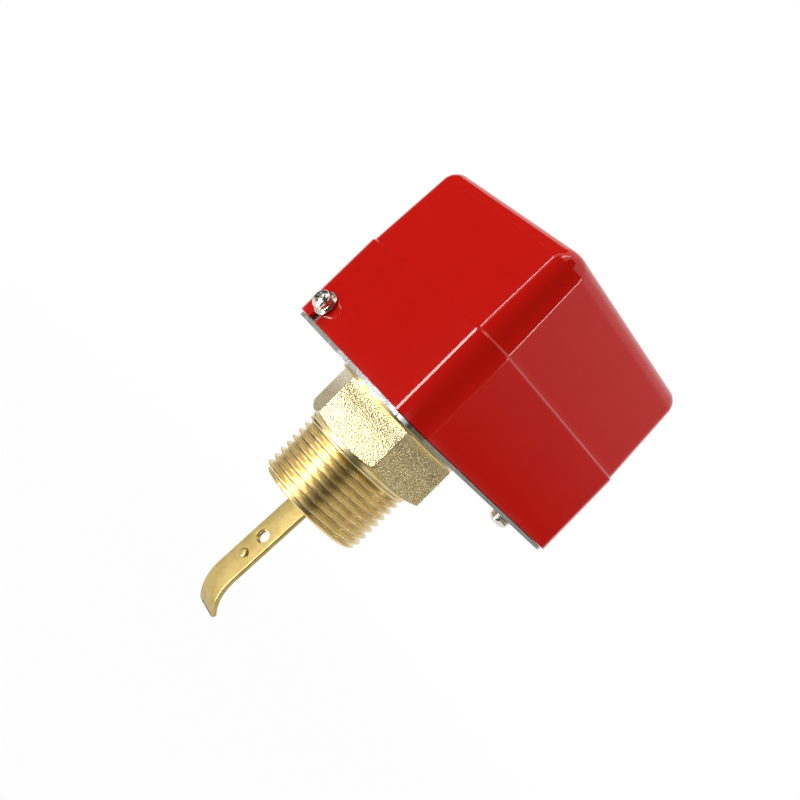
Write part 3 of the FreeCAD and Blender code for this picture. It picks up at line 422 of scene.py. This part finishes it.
def move_mesh(piece, matrix):
    piece.data.transform(matrix)
    piece.data.update()
    return piece


def stood(at, axis, spin_deg=0.0):
    """Matrix that takes a piece built along +Z to a place (mm) and direction."""
    turn = Vector(axis).to_track_quat("Z", "Y").to_matrix().to_4x4()
    return Matrix.Translation(Vector(at) * MM) @ turn @ Matrix.Rotation(math.radians(spin_deg), 4, "Z")


# %% [markdown]
# ## The cover
#
# The real cover is drawn from one steel sheet: an upright skirt that slides over the base, a
# small outward joggle, and an upper part that tapers so that the press tool can leave it. It
# could be a box with bevels, but then the taper, the joggle and the way the corner radius
# shrinks towards the top would all be lost. As rings of a rounded rectangle they are each one
# line: every ring has a height, a draw-in and a corner radius.

# %% Cover sizes, measured on the solid cover
cover_low, cover_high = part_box("cover")
x_low, y_low, rim = (c / MM for c in cover_low)
x_high, y_high, top = (c / MM for c in cover_high)
skirt = 26.4
joggle, joggle_h = 0.5, 0.7
skirt_draft, upper_draft = math.radians(0.7), math.radians(3.2)
edge_r = 5.0
wall = 1.0
skirt_corner, upper_corner = 7.5, 7.0
print("cover", round(x_high - x_low, 2), "x", round(y_high - y_low, 2), "x", round(top - rim, 2), "mm")


def rounded_ring(draw, corner, z, steps=14, hold=0.3):
    """A rounded rectangle drawn in by draw; a point either side of each arc keeps the flats flat."""
    x0, x1, y0, y1 = x_low + draw, x_high - draw, y_low + draw, y_high - draw
    ring = []
    for cx, cy, start in ((x1 - corner, y0 + corner, -90), (x1 - corner, y1 - corner, 0),
                          (x0 + corner, y1 - corner, 90), (x0 + corner, y0 + corner, 180)):
        arc = [(0, -hold)] + [(i, 0.0) for i in range(steps + 1)] + [(steps, hold)]
        for i, past in arc:
            a = math.radians(start + 90 * i / steps)
            x = cx + corner * math.cos(a) - past * math.sin(a)
            y = cy + corner * math.sin(a) + past * math.cos(a)
            ring.append((x, y, z))
    return ring


def cover_side(inset):
    """Rings of the outside (inset 0) or the inside skin, from the rim to the flat of the top."""
    lower = skirt * math.tan(skirt_draft)
    rise = (top - rim - skirt) * math.tan(upper_draft) / (top - rim - skirt - joggle_h)
    crest = rim + skirt
    rings = []
    for share in (0.0, 0.03, 0.5, 0.985):
        rings.append(rounded_ring(inset + lower * share, skirt_corner - inset, rim + skirt * share))
    for i in range(9):
        share = i / 8
        soft = share * share * (3 - 2 * share)
        corner = skirt_corner + (upper_corner - skirt_corner) * soft
        draw = inset + lower + joggle * soft
        rings.append(rounded_ring(draw, corner - inset, crest + joggle_h * share))
    bend_z = top - edge_r
    start = crest + joggle_h
    for share in (0.06, 0.5, 0.94):
        z = start + (bend_z - start) * share
        corner = upper_corner - (z - start) / (top - start)
        rings.append(rounded_ring(inset + lower + joggle + (z - start) * rise, corner - inset, z))
    base = lower + joggle + (bend_z - start) * rise
    r = edge_r - inset
    corner = upper_corner - (bend_z - start) / (top - start)
    for i in range(13):
        a = math.radians(90 * i / 12)
        drawn = r * (1 - math.cos(a))
        corner_r = max(corner - inset - drawn, 0.3)
        rings.append(rounded_ring(base + inset + drawn, corner_r, bend_z + r * math.sin(a)))
    return rings


# %% Draw the cover, then cut its notches
outside = cover_side(0.0)
inside = cover_side(wall)
shell = ring_mesh("cover_shell_piece", inside[::-1] + outside, enamel, None, 30.0)
screw_y, screw_z = 20.3, rim + 5.5
cable_y, cable_z = 11.0, 27.0
slot_r, way_r, reach = 1.8, 11.0, 4.0


def notch(name, x, y, z, r, count):
    """A round-topped notch, open at the rim: a block below and a round above."""
    round_end = ring_mesh(name + "_end", turned_rings([(r, -reach), (r, reach)], count), None, None)
    move_mesh(round_end, stood((x, y, z), (1, 0, 0)))
    return [block(name, x - reach, x + reach, y - r, y + r, rim - 1, z), round_end]


cut(shell, notch("slot", x_low, screw_y, screw_z, slot_r, 32)
    + notch("slot", x_high, -screw_y, screw_z, slot_r, 32)
    + notch("way", x_high, cable_y, cable_z, way_r, 96))
tidy_edges(shell, 30.0)
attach(shell, "cover_shell")
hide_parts("cover")
print("cover has", len(shell.data.polygons), "faces")

# %% [markdown]
# ## The brass fitting
#
# Thread, hexagon, flange and bore are one turned casting, so they are one closed mesh here. A
# screw modifier could wind a thread profile, but its ends would stop dead. Instead the surface
# is a grid of angle and height whose radius follows a wave that climbs one pitch each turn;
# at the collar the wave fades out and at the tip a chamfer trims it, as a die does. The
# hexagon uses the same columns of angles, with extra ones packed into its rounded corners.

# %% Columns of angles shared by the hexagon and the thread
hex_flat, hex_high, hex_low, hex_turn = 35.8 / 2, 12.3, -1.3, -3.7
corner_soft = 0.4
thread_r, thread_len, pitch, depth = 33.249 / 2, 21.0, 2.309, 1.35
collar, thread_phase, taper_run = 1.9, 0.784, 64.0
tip_in, tip_slope, under_deg = 1.7, 1.15, 24.0
flange_r, flange_top = 20.1, 13.75
bore_r, neck_r, groove_r, shoulder = 12.5, 9.0, 17.4, 6.0
corner_deg = 0.56
columns = []
for face in range(6):
    corner_at = hex_turn + 60 * face
    columns += [corner_at + corner_deg * i / 4 for i in range(-4, 5)]
    columns += [corner_at + corner_deg + (60 - 2 * corner_deg) * i / 28 for i in range(1, 28)]
columns = [math.radians(a) for a in columns]
print(len(columns), "columns round the fitting")


def hex_radius(angle):
    """Distance from the axis to the hexagon's side, with each corner rounded to corner_soft."""
    off = math.radians((math.degrees(angle) - hex_turn + 30) % 60 - 30)
    centre = (hex_flat - corner_soft) / math.cos(math.radians(30))
    if abs(off) < math.radians(corner_deg + 0.001):
        return centre * math.cos(off) + math.sqrt(corner_soft ** 2 - (centre * math.sin(off)) ** 2)
    return hex_flat / math.cos(math.radians(30) - abs(off))


def chamfer_start(angle):
    """Height at which the hexagon's lower chamfer meets its side."""
    return hex_low + max(0.0, hex_radius(angle) - hex_flat + 0.4) * math.tan(math.radians(under_deg))


# %% The thread's radius at every angle and height
def wave(u):
    """Whitworth form: 0 on the crest, 1 in the root, straight flanks between soft turns."""
    t = 1 - abs((u % 1.0) - 0.5) * 2
    t = min(1.0, max(0.0, (t - 0.10) / 0.80))
    return t * t * (3 - 2 * t) * 0.45 + t * 0.55


def thread_radius(angle, z):
    """Crest radius less the taper and the wave, which fades at the collar and is trimmed at the tip."""
    turn = angle / (2 * math.pi)
    runout = (-collar - 0.2) - z
    depth_now = depth * min(1.0, max(0.0, runout / (0.8 * pitch)))
    taper = max(0.0, -z - collar) / taper_run
    r = thread_r - 0.02 - taper - depth_now * wave((z - pitch * turn) / pitch + thread_phase)
    tip = thread_r - tip_in + (z + thread_len) * tip_slope
    return min(r, tip)


# %% Stack the rings of the fitting and close them
def shaped(radius, height):
    """A ring whose radius and height are worked out at each column."""
    return [(radius(a) * math.cos(a), radius(a) * math.sin(a), height(a)) for a in columns]


ring_step = 0.1
thread_rings = int((thread_len - collar) / ring_step)
rings = []
for i in range(thread_rings):
    z = -thread_len + i * ring_step
    rings.append(shaped(lambda a: thread_radius(a, z), lambda a: z))
rings.append(circle(thread_r - 0.02, hex_low - 0.25, columns))
rings.append(circle(thread_r + 0.05, hex_low - 0.06, columns))
rings.append(circle(thread_r + 0.25, hex_low, columns))
hex_from = len(rings)
rings.append(circle(hex_flat - 0.4, hex_low, columns))
for share in (0.0, 0.15, 0.5, 0.98):
    rings.append(shaped(hex_radius, lambda a: chamfer_start(a) + (hex_high - chamfer_start(a)) * share))
rings.append(shaped(lambda a: hex_radius(a) * 0.994, lambda a: hex_high))
hex_to = len(rings)
profile = [(groove_r, hex_high), (flange_r - 0.2, hex_high), (flange_r, hex_high + 0.2),
           (flange_r, flange_top - 0.2), (flange_r - 0.2, flange_top), (neck_r + 0.3, flange_top),
           (neck_r, flange_top - 0.3), (neck_r, shoulder), (bore_r, shoulder),
           (bore_r, -thread_len + 0.5), (bore_r + 0.4, -thread_len)]
rings += [circle(r, z, columns) for r, z in profile]
fitting = ring_mesh("brass_fitting", rings, thread_brass, "base", 32.0, loop=True)
fitting.data.materials.append(hex_brass)
per_ring = len(columns)
for face in fitting.data.polygons:
    if hex_from <= face.index // per_ring < hex_to:
        face.material_index = 1
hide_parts("brass_body")
print("fitting has", len(fitting.data.polygons), "faces,", thread_rings, "rings of thread")

# %% [markdown]
# ## The arm
#
# The arm is a short length of rolled bar with soft edges, bent at its tip. A flat extrusion
# would give knife edges that catch no light, so a rounded section is swept along a line that
# runs straight and then turns. The last rings get narrower, which rounds the tip's corners. The
# hole is tapped, so the tool that cuts it here has a thread of its own and a countersink at each
# face, all in one turned shape. A flat cutter that carries a dark grey-brown finish leaves it on the end.

# %% Sweep the bar
pin_z, lean_deg = 18.5, 4.0
to_pin = Matrix.Translation((0, 0, pin_z * MM))
lean = to_pin @ Matrix.Rotation(math.radians(lean_deg), 4, "Y") @ to_pin.inverted()
arm_w, arm_t, arm_top, arm_bend = 8.7, 1.5, -13.0, -48.0
bend_in, bend_deg, soft, tip_r = 12.5, 54.0, 0.5, 0.7
straight = arm_top - arm_bend
mid_r = bend_in + arm_t / 2


def bar_section(width, shrink=0.0):
    """Rounded rectangle, thickness along the first number and width along the second."""
    hx, hy, r = arm_t / 2 - shrink, width / 2 - shrink, soft
    out = []
    corners = ((hx - r, -hy + r, -90), (hx - r, hy - r, 0), (-hx + r, hy - r, 90), (-hx + r, -hy + r, 180))
    for cx, cy, start in corners:
        for i in range(6):
            a = math.radians(start + 18 * i)
            out.append((cx + r * math.cos(a), cy + r * math.sin(a)))
    return out


def bar_ring(along, width, shrink=0.0):
    """Section of the bar at a distance along its middle line, measured down from the top."""
    if along <= straight:
        base, nx, nz = (0.0, arm_top - along), 1.0, 0.0
    else:
        a = (along - straight) / mid_r
        base = (mid_r - mid_r * math.cos(a), arm_bend - mid_r * math.sin(a))
        nx, nz = math.cos(a), math.sin(a)
    return [(base[0] + u * nx, v, base[1] + u * nz) for u, v in bar_section(width, shrink)]


length = straight + mid_r * math.radians(bend_deg)
stops = [0.0, 4.0, 10.0, 16.0, 20.0, 24.0, 28.0, 32.0, straight]
stops += [straight + (length - tip_r - straight) * i / 20 for i in range(1, 21)]
rings = [bar_ring(s, arm_w) for s in stops]
for i in range(1, 6):
    turn = math.radians(90 * i / 5)
    width = arm_w - 2 * tip_r * (1 - math.cos(turn))
    rings.append(bar_ring(length - tip_r + tip_r * math.sin(turn), width, 0.02 * i))
arm = ring_mesh("rolled_arm", rings, arm_brass, None, 40.0)
print("arm is", round(length, 1), "mm along its middle line")

# %% Tap the hole
hole_z, tap_pitch, tap_r, tap_depth, countersink_r = -34.5, 0.7, 1.98, 0.30, 2.15
tap = []
for i in range(61):
    z = -1.5 + i * 0.05
    ring = []
    for a in even_angles(40):
        turn = a / (2 * math.pi)
        r = tap_r - tap_depth * wave((z - tap_pitch * turn) / tap_pitch)
        if abs(z) > 0.4:
            r = max(r, countersink_r + (abs(z) - arm_t / 2))
        ring.append((r * math.cos(a), r * math.sin(a), z))
    tap.append(ring)
cut(arm, [move_mesh(ring_mesh("tap_tool", tap, None, None), stood((0, 0, hole_z), (1, 0, 0)))])
print("hole tapped at", hole_z, "mm")

# %% Darken a flat on the end and raise the pip
end_flat_r, end_flat_deep, end_flat_tilt, end_flat_back, end_flat_aside = 3.1, 0.12, 0.06, 0.2, -0.6
end_turn = math.radians(bend_deg)
end_at = Vector((mid_r - mid_r * math.cos(end_turn), 0, arm_bend - mid_r * math.sin(end_turn)))
along = Vector((math.sin(end_turn), 0, -math.cos(end_turn)))
upstream = Vector((-math.cos(end_turn), 0, -math.sin(end_turn)))
end_flat_way = (upstream + along * end_flat_tilt).normalized()
end_flat_at = end_at + upstream * (arm_t / 2) - along * end_flat_back + Vector((0, end_flat_aside, 0))
end_flat_at -= end_flat_way * end_flat_deep
# This cutter leaves a shallow flat at the arm's end, coloured dark grey-brown.
end_flat = ring_mesh("end_flat", turned_rings([(end_flat_r, 0.0), (end_flat_r, 4.0)], 48), end_brass, None)
cut(arm, [move_mesh(end_flat, stood(end_flat_at, end_flat_way))])
pip_z = -41.3
dent = ring_mesh("dent", turned_rings([(0.5, -0.75), (1.1, -0.6), (1.2, 0.3)], 32), None, None)
cut(arm, [move_mesh(dent, stood((arm_t / 2, 0, pip_z), (1, 0, 0)))])
pip_profile = [(1.45, -0.5), (1.42, 0.05), (1.36, 0.25), (1.30, 0.55),
               (1.12, 0.70), (0.7, 0.74), (0.0, 0.75)]
pip = ring_mesh("arm_pip", turned_rings(pip_profile, 32), arm_brass, None, 40.0)
move_mesh(pip, stood((-arm_t / 2, 0, pip_z), (-1, 0, 0)))
for piece in (arm, pip):
    move_mesh(piece, lean)
tidy_edges(arm, 40.0)
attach(arm, "lever")
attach(pip, "lever")
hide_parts("paddle_arm")
print("arm has", len(arm.data.polygons), "faces")

# %% [markdown]
# ## Screws and washers
#
# The small fasteners are nickel-plated pan heads with a cross recess, over a split washer. The
# two in the cover have a flat washer as well. A painted cross would look wrong from the side, so
# the recess is cut: four tapering wings and a cone in the middle, the shape of the driver's tip.


# %% One pan-head screw, and its two washers
def pan_head(name, body, at, axis, spin, r=2.8, high=2.1, shank=1.45, long=8.0):
    """A domed head on a plain shank, with the driver's cross cut into it."""
    rise = high * 0.33
    wing_deep, cone_deep, over = 1.35, 1.6, 0.3
    profile = [(0.0, -long), (shank - 0.45, -long), (shank, -long + 0.5), (shank, 0.0),
               (r - 0.12, 0.0), (r, 0.12), (r, rise)]
    for i in range(1, 9):
        a = math.radians(90 * i / 8)
        profile.append((r * 0.30 + r * 0.70 * math.cos(a), rise + (high - rise) * math.sin(a)))
    profile.append((0.0, high))
    head = ring_mesh(name, turned_rings(profile, 48), nickel, None, 35.0)
    tools = []
    for turn in (0, 90):
        rings = []
        for z, w, out in ((high - wing_deep, 0.22, 0.5), (high + over, 0.42, r * 0.58 + 0.15)):
            rings.append([(-out, -w, z), (out, -w, z), (out, w, z), (-out, w, z)])
        wing = ring_mesh("wing", rings, None, None)
        tools.append(move_mesh(wing, Matrix.Rotation(math.radians(turn), 4, "Z")))
    cone_rings = turned_rings([(0.15, high - cone_deep), (0.85, high + over)], 24)
    cut(head, tools + [ring_mesh("cone", cone_rings, None, None)])
    move_mesh(head, stood(at, axis, spin))
    tidy_edges(head, 35.0)
    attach(head, body)
    return head


def split_washer(name, at, axis, spin, outer=3.0, inner=1.6, thick=0.8):
    """A rounded square section swept round, stopping short of a full turn and slightly sprung."""
    mid, half = (outer + inner) / 2, (outer - inner) / 2
    section = []
    for sx, sz in ((1, -1), (1, 1), (-1, 1), (-1, -1)):
        ends = ((0.82, 1.0), (1.0, 0.82)) if sx * sz < 0 else ((1.0, 0.82), (0.82, 1.0))
        section += [(sx * half * across, sz * thick / 2 * up) for across, up in ends]
    rings = []
    for i in range(61):
        a = math.radians(6 + 348 * i / 60)
        cos_a, sin_a = math.cos(a), math.sin(a)
        middle = thick / 2 + 0.10 * (i / 60 - 0.5)
        rings.append([((mid + u) * cos_a, (mid + u) * sin_a, middle + v * 0.86) for u, v in section])
    washer = ring_mesh(name, rings, nickel, None, 40.0)
    move_mesh(washer, stood(at, axis, spin))
    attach(washer, "base")
    return washer


def flat_washer(name, at, axis, outer=3.5, inner=1.6, thick=0.5):
    """A stamped ring, rounded on one face where the punch drew it over."""
    profile = [(inner, 0.0), (outer - 0.1, 0.0), (outer, 0.1), (outer, thick - 0.12),
               (outer - 0.12, thick), (inner + 0.08, thick), (inner, thick - 0.08)]
    washer = ring_mesh(name, turned_rings(profile, 56), nickel, None, 35.0, loop=True)
    move_mesh(washer, stood(at, axis))
    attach(washer, "base")
    return washer


# %% Screws in the two ends of the cover
seat_gap, flat_thick, split_thick = 0.3, 0.5, 0.8
for label, x, y, way in (("upstream", x_low, screw_y, -1), ("downstream", x_high, -screw_y, 1)):
    axis = (way, 0, 0)
    out = [x + way * (seat_gap + stacked) for stacked in (0.0, flat_thick, flat_thick + split_thick)]
    flat = flat_washer("flat_washer_" + label, (out[0], y, screw_z), axis, thick=flat_thick)
    split = split_washer("split_washer_" + label, (out[1], y, screw_z), axis, 200, thick=split_thick)
    head = pan_head("cover_screw_" + label, "base", (out[2], y, screw_z), axis, 22)
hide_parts("cover_flat_washers")
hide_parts("cover_spring_washers")
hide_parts("cover_screws")
print("cover screws at", screw_y, "and", -screw_y, "mm across")

# %% Screws under the base plate
bracket_x, bracket_y, plate_under = 32.0, 23.0, 13.75
down = (0, 0, -1)
for label, y in (("near", -bracket_y), ("far", bracket_y)):
    washer_at = (bracket_x, y, plate_under)
    head_at = (bracket_x, y, plate_under - split_thick)
    split = split_washer("bracket_washer_" + label, washer_at, down, 130, thick=split_thick)
    head = pan_head("bracket_screw_" + label, "base", head_at, down, 35, long=5.0)
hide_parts("bracket_washers")
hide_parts("bracket_screws")
print("bracket screws", 2 * bracket_y, "mm apart")

# %% [markdown]
# ## The range spring
#
# A compression spring is wire wound round a mandrel, with the last turn at each end laid flat.
# It is swept as small circles along a helix whose pitch closes up at both ends. The lever pushes
# on its foot and the seat on its head. It is wound as two lengths, a foot and a head, that meet
# where the wire keeps still.

# %% Wind the spring
spring_low, spring_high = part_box("range_spring")
z0, z1 = spring_low.z / MM + 0.5, spring_high.z / MM - 0.5
spring_x, wire_r, coil_r, turns = 10.8, 0.45, 3.55, 6.5
steps = 36 * 6
meeting = 0.27


def spring_height(share):
    """Flat at both ends, even in between."""
    flat = 0.09
    if share < flat:
        return 0.10 * (share / flat) ** 2
    if share > 1 - flat:
        return 1 - 0.10 * ((1 - share) / flat) ** 2
    return 0.10 + 0.80 * (share - flat) / (1 - 2 * flat)


def wind(name, first, last):
    """The length of spring between two steps of the helix."""
    rings = []
    for i in range(first, last + 1):
        share = i / steps
        a = 2 * math.pi * turns * share
        z = z0 + (z1 - z0) * spring_height(share)
        ring = []
        for j in range(12):
            b = 2 * math.pi * j / 12
            r = coil_r + wire_r * math.cos(b)
            ring.append((spring_x + r * math.cos(a), r * math.sin(a), z + wire_r * math.sin(b)))
        rings.append(ring)
    return ring_mesh(name, rings, spring_steel, None, 50.0)


def on_spring(z):
    """A place on the spring's axis, in metres."""
    return (spring_x * MM, 0, z * MM)


split_at = round(meeting * steps)
meet_z = z0 + (z1 - z0) * spring_height(meeting)
spring_foot = wind("spring_foot", 0, split_at)
spring_head = wind("spring_head", split_at, steps)
on_spring(z0)
on_spring(meet_z)
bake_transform(spring_foot)
on_spring(meet_z)
on_spring(z1)
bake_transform(spring_head)
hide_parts("range_spring")
print("spring wound from", round(z0, 1), "to", round(z1, 1), "mm")

# %% [markdown]
# ## Finishes for the solid pieces that stay
#
# The rest of the solids already have their true shape, so they only change clothes.

# %% Dress the solids
wardrobe = {
    tray_zinc: ["base_tray"],
    bracket_zinc: ["mechanism_bracket", "pivot_yoke", "main_lever"],
    nickel: ["body_screws", "switch_screws", "terminal_screws", "stem_nut"],
    ground_steel: ["pivot_pin", "range_screw"],
    spring_steel: ["pin_clip", "range_clip", "stem_washer"],
    stem_brass: ["stem", "spring_seat", "bellows_ring", "bellows"],
    terminal_brass: ["terminals", "earth_screw", "earth_washer"],
    black_phenolic: ["switch_case"],
    brown_phenolic: ["switch_lid"],
    red_button: ["switch_plunger"],
    board: ["insulating_sheet"],
    grommet_rubber: ["cable_grommet"],
    seal_rubber: ["bellows_seal"],
}
for material, names in wardrobe.items():
    for name in names:
        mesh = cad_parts[name].data
        for i in range(len(mesh.materials)):
            mesh.materials[i] = material
print("dressed", sum(len(v) for v in wardrobe.values()), "solids")

# %% [markdown]
# ## The studio
#
# The switch hangs by its thread in use, so here it floats over a pale floor. Polished metal and
# enamel show whatever surrounds them. A ready-made surround would be quicker, but nothing in it
# could be aimed, so the studio is built for its reflections. Mirrors see white unless a card
# stands in the way: dark cards keep the red clean, and warm grey ones below the horizon shade
# the brass. Narrow soft boxes draw the bright lines on the cover's edges, and narrow, strong
# cards draw the one down the thread. The three big lamps light the paint but hide from mirrors.

# %% Surround and floor, white to the eye and in mirrors
floor_z, floor_half, sky_level = -140.0, 6.0, 0.36
surround = bpy.data.worlds.new("surround")
bpy.context.scene.world = surround
w = Finish("surround", surround)
white_sky = w.add("ShaderNodeBackground", {}, {"Color": (1.0, 1.0, 1.0, 1.0), "Strength": 1.0})
soft_sky = w.add("ShaderNodeBackground", {}, {"Color": (1.0, 1.0, 1.0, 1.0), "Strength": sky_level})
sky = w.add("ShaderNodeMixShader", {}, {0: w.seen(), 1: soft_sky, 2: white_sky})
w.add("ShaderNodeOutputWorld", {}, {"Surface": sky})


def floor_finish():
    """Pale paper for the shadow, mixed with a white glow for the eye and for mirrors."""
    f = Finish("floor_paint")
    pale = f.blend(f.noise(60.0, 3.0), (0.78, 0.78, 0.78), (0.82, 0.82, 0.82))
    paper = f.add("ShaderNodeBsdfDiffuse", {}, {"Color": pale})
    glow = f.add("ShaderNodeEmission", {}, {"Color": (1.0, 1.0, 1.0, 1.0), "Strength": 1.0})
    away = f.add("ShaderNodeVectorMath", {"operation": "LENGTH"}, {0: f.place}, "Value")
    share = 0.96 + 0.04 * away.above(0.55, 0.7)
    both = f.add("ShaderNodeMixShader", {}, {0: f.seen() * share, 1: paper, 2: glow})
    f.add("ShaderNodeOutputMaterial", {}, {"Surface": both})
    return f.material


def stand_alone(name, mesh, material):
    """Put a thing in the studio that isn't part of the switch."""
    thing = bpy.data.objects.new(name, mesh)
    bpy.context.scene.collection.objects.link(thing)
    mesh.materials.append(material)
    return thing


corners = [(floor_half * x, floor_half * y, 0) for x, y in ((-1, -1), (1, -1), (1, 1), (-1, 1))]
floor_mesh = bpy.data.meshes.new("floor")
floor_mesh.from_pydata(corners, [], [(0, 1, 2, 3)])
floor = stand_alone("floor", floor_mesh, floor_finish())
floor.location = (0, 0, floor_z * MM)
print("floor at", floor_z, "mm")


# %% Cards that only mirrors see
aim_z, card_foot = 20.0, floor_z + 1.0
hung = []


def polar(r, a, z):
    """A point in metres from a distance and height in mm and a bearing in radians."""
    return (r * math.cos(a) * MM, r * math.sin(a) * MM, z * MM)


def sweep(bearings, steps):
    """Evenly spaced bearings in radians, from one in degrees to another."""
    first, last = bearings
    return [math.radians(first + (last - first) * i / steps) for i in range(steps + 1)]


def hang(name, points, f, tone, strength):
    """A strip between pairs of points that glows, and that only mirrors see."""
    mesh = bpy.data.meshes.new(name)
    mesh.from_pydata(points, [], [(i, i + 2, i + 3, i + 1) for i in range(0, len(points) - 2, 2)])
    glow = f.add("ShaderNodeEmission", {}, {"Color": tone, "Strength": strength})
    f.add("ShaderNodeOutputMaterial", {}, {"Surface": glow})
    thing = stand_alone(name, mesh, f.material)
    thing.visible_camera = False
    thing.visible_shadow = False
    thing.visible_diffuse = False
    hung.append(thing)


def card(name, bearings, heights, distance, low, high, tint=(1.0, 0.99, 0.97), strength=1.0):
    """A curved card. Bearings and heights in degrees, seen from the switch; low and high are greys."""
    foot, top = [aim_z + distance * math.tan(math.radians(h)) for h in heights]
    foot = max(card_foot, foot)
    f = Finish(name + "_paint")
    rise = (f.axis("Z") / MM - foot) / (top - foot)
    tone = f.blend(rise, [low * c for c in tint], [high * c for c in tint])
    hang(name, [polar(distance, a, z) for a in sweep(bearings, 24) for z in (foot, top)], f, tone, strength)


def floor_card(name, bearings, reach, strength):
    """A flat card just above the floor, from one distance to another."""
    f = Finish(name + "_paint")
    away = f.add("ShaderNodeVectorMath", {"operation": "LENGTH"}, {0: f.place}, "Value")
    tone = f.blend(away.above(0.5, 1.6), (1.0, 1.0, 1.0), (0.9, 0.9, 0.9))
    hang(name, [polar(r, a, card_foot) for a in sweep(bearings, 12) for r in reach], f, tone, strength)


warm = (1.0, 0.86, 0.50)

# at the horizon and above it, mostly for the enamel
card("card_left", (84, 139.8), (-1.0, 60), 900, 0.07, 0.05)
card("card_front", (150, 307.5), (-2.4, 30), 905, 0.05, 0.05)
card("card_gap", (307.5, 313.4), (-2.4, 6), 905, 0.30, 0.30, warm)
card("card_right", (313.4, 350), (-1.0, 25), 910, 0.03, 0.90)
card("card_right_high", (313.4, 350), (25, 60), 910, 0.90, 0.80)

# below the horizon, mostly for the brass
card("card_low_left", (60, 166), (-30, -2.4), 890, 0.34, 0.34, warm)
card("card_low_right", (239, 345), (-30, -2.4), 890, 0.29, 0.29, (1.0, 0.80, 0.38))
card("card_camera", (212, 238), (-30, -2.0), 880, 0.03, 0.03)
card("card_hexagon", (182, 211), (-14, 0.0), 885, 1.10, 1.10)
floor_card("floor_hexagon", (182, 199), (70, 870), 0.9)

# the bright line down the thread and what borders it
card("card_stripe", (165, 179), (-15, -5.2), 500, 1.0, 1.0, strength=16.0)
card("card_stripe_high", (165, 179), (34, 68), 500, 1.0, 1.0, strength=6.0)
card("card_camera_high", (198, 244), (30, 66), 880, 0.03, 0.03)
floor_card("floor_stripe", (165, 179), (70, 490), 19.0)
floor_card("floor_dark", (200, 240), (70, 870), 0.03)
print("hung", len(hung), "cards")


# %% Lamps
def soft_box(name, azimuth, elevation, distance, width, height, radiance, in_mirrors=True):
    """A flat lamp facing the switch. Sizes in mm; radiance 1 would look white."""
    a, e = math.radians(azimuth), math.radians(elevation)
    away = Vector((math.cos(a) * math.cos(e), math.sin(a) * math.cos(e), math.sin(e)))
    lamp = bpy.data.lights.new(name, "AREA")
    lamp.shape = "RECTANGLE"
    lamp.size, lamp.size_y = width * MM, height * MM
    lamp.energy = radiance * math.pi * lamp.size * lamp.size_y
    holder = bpy.data.objects.new(name, lamp)
    bpy.context.scene.collection.objects.link(holder)
    holder.location = (away * distance + Vector((0, 0, aim_z))) * MM
    holder.rotation_euler = away.to_track_quat("Z", "Y").to_euler()
    holder.visible_glossy = in_mirrors


soft_box("box_corner", 145, 2, 900, 130, 190, 13.0)
soft_box("box_corner_top", 142.6, 13.5, 900, 44, 160, 10.0)
soft_box("box_right_edge", 310.4, 19, 900, 42, 330, 9.0)
soft_box("lamp_left", 140, 36, 900, 500, 500, 4.9, False)
soft_box("lamp_right", 308, 34, 900, 450, 450, 3.7, False)
soft_box("lamp_overhead", 60, 76, 1000, 700, 700, 1.0, False)
print("lit", len(bpy.data.lights), "lamps")

# %% [markdown]
# ## The camera
#
# The picture is taken about level with the cover's rim, a quarter of a metre from its nearest
# corner. It could be framed upright, but then the switch would fill only the middle of a square
# picture, so the camera is rolled by 45 degrees and the switch lies across the frame.

# %% Camera
camera_at = Vector((-205.310, -197.047, 21.699)) * MM
look_at = Vector((-4.300, 0.0, 16.390)) * MM
roll = 0.7868
forward = (look_at - camera_at).normalized()
level_right = forward.cross(Vector((0, 0, 1))).normalized()
level_up = level_right.cross(forward)
right = level_right * math.cos(roll) + level_up * math.sin(roll)
up = level_up * math.cos(roll) - level_right * math.sin(roll)
camera_data = bpy.data.cameras.new("camera")
camera_data.sensor_width = 36.0
camera_data.lens = 48.267
camera_data.clip_start, camera_data.clip_end = 0.01, 50.0
camera = bpy.data.objects.new("camera", camera_data)
bpy.context.scene.collection.objects.link(camera)
camera.matrix_world = Matrix((
    (right.x, up.x, -forward.x, camera_at.x),
    (right.y, up.y, -forward.y, camera_at.y),
    (right.z, up.z, -forward.z, camera_at.z),
    (0, 0, 0, 1),
))
bpy.context.scene.camera = camera
bpy.context.scene.view_settings.view_transform = "Standard"
print("lens", round(camera_data.lens, 1), "mm")
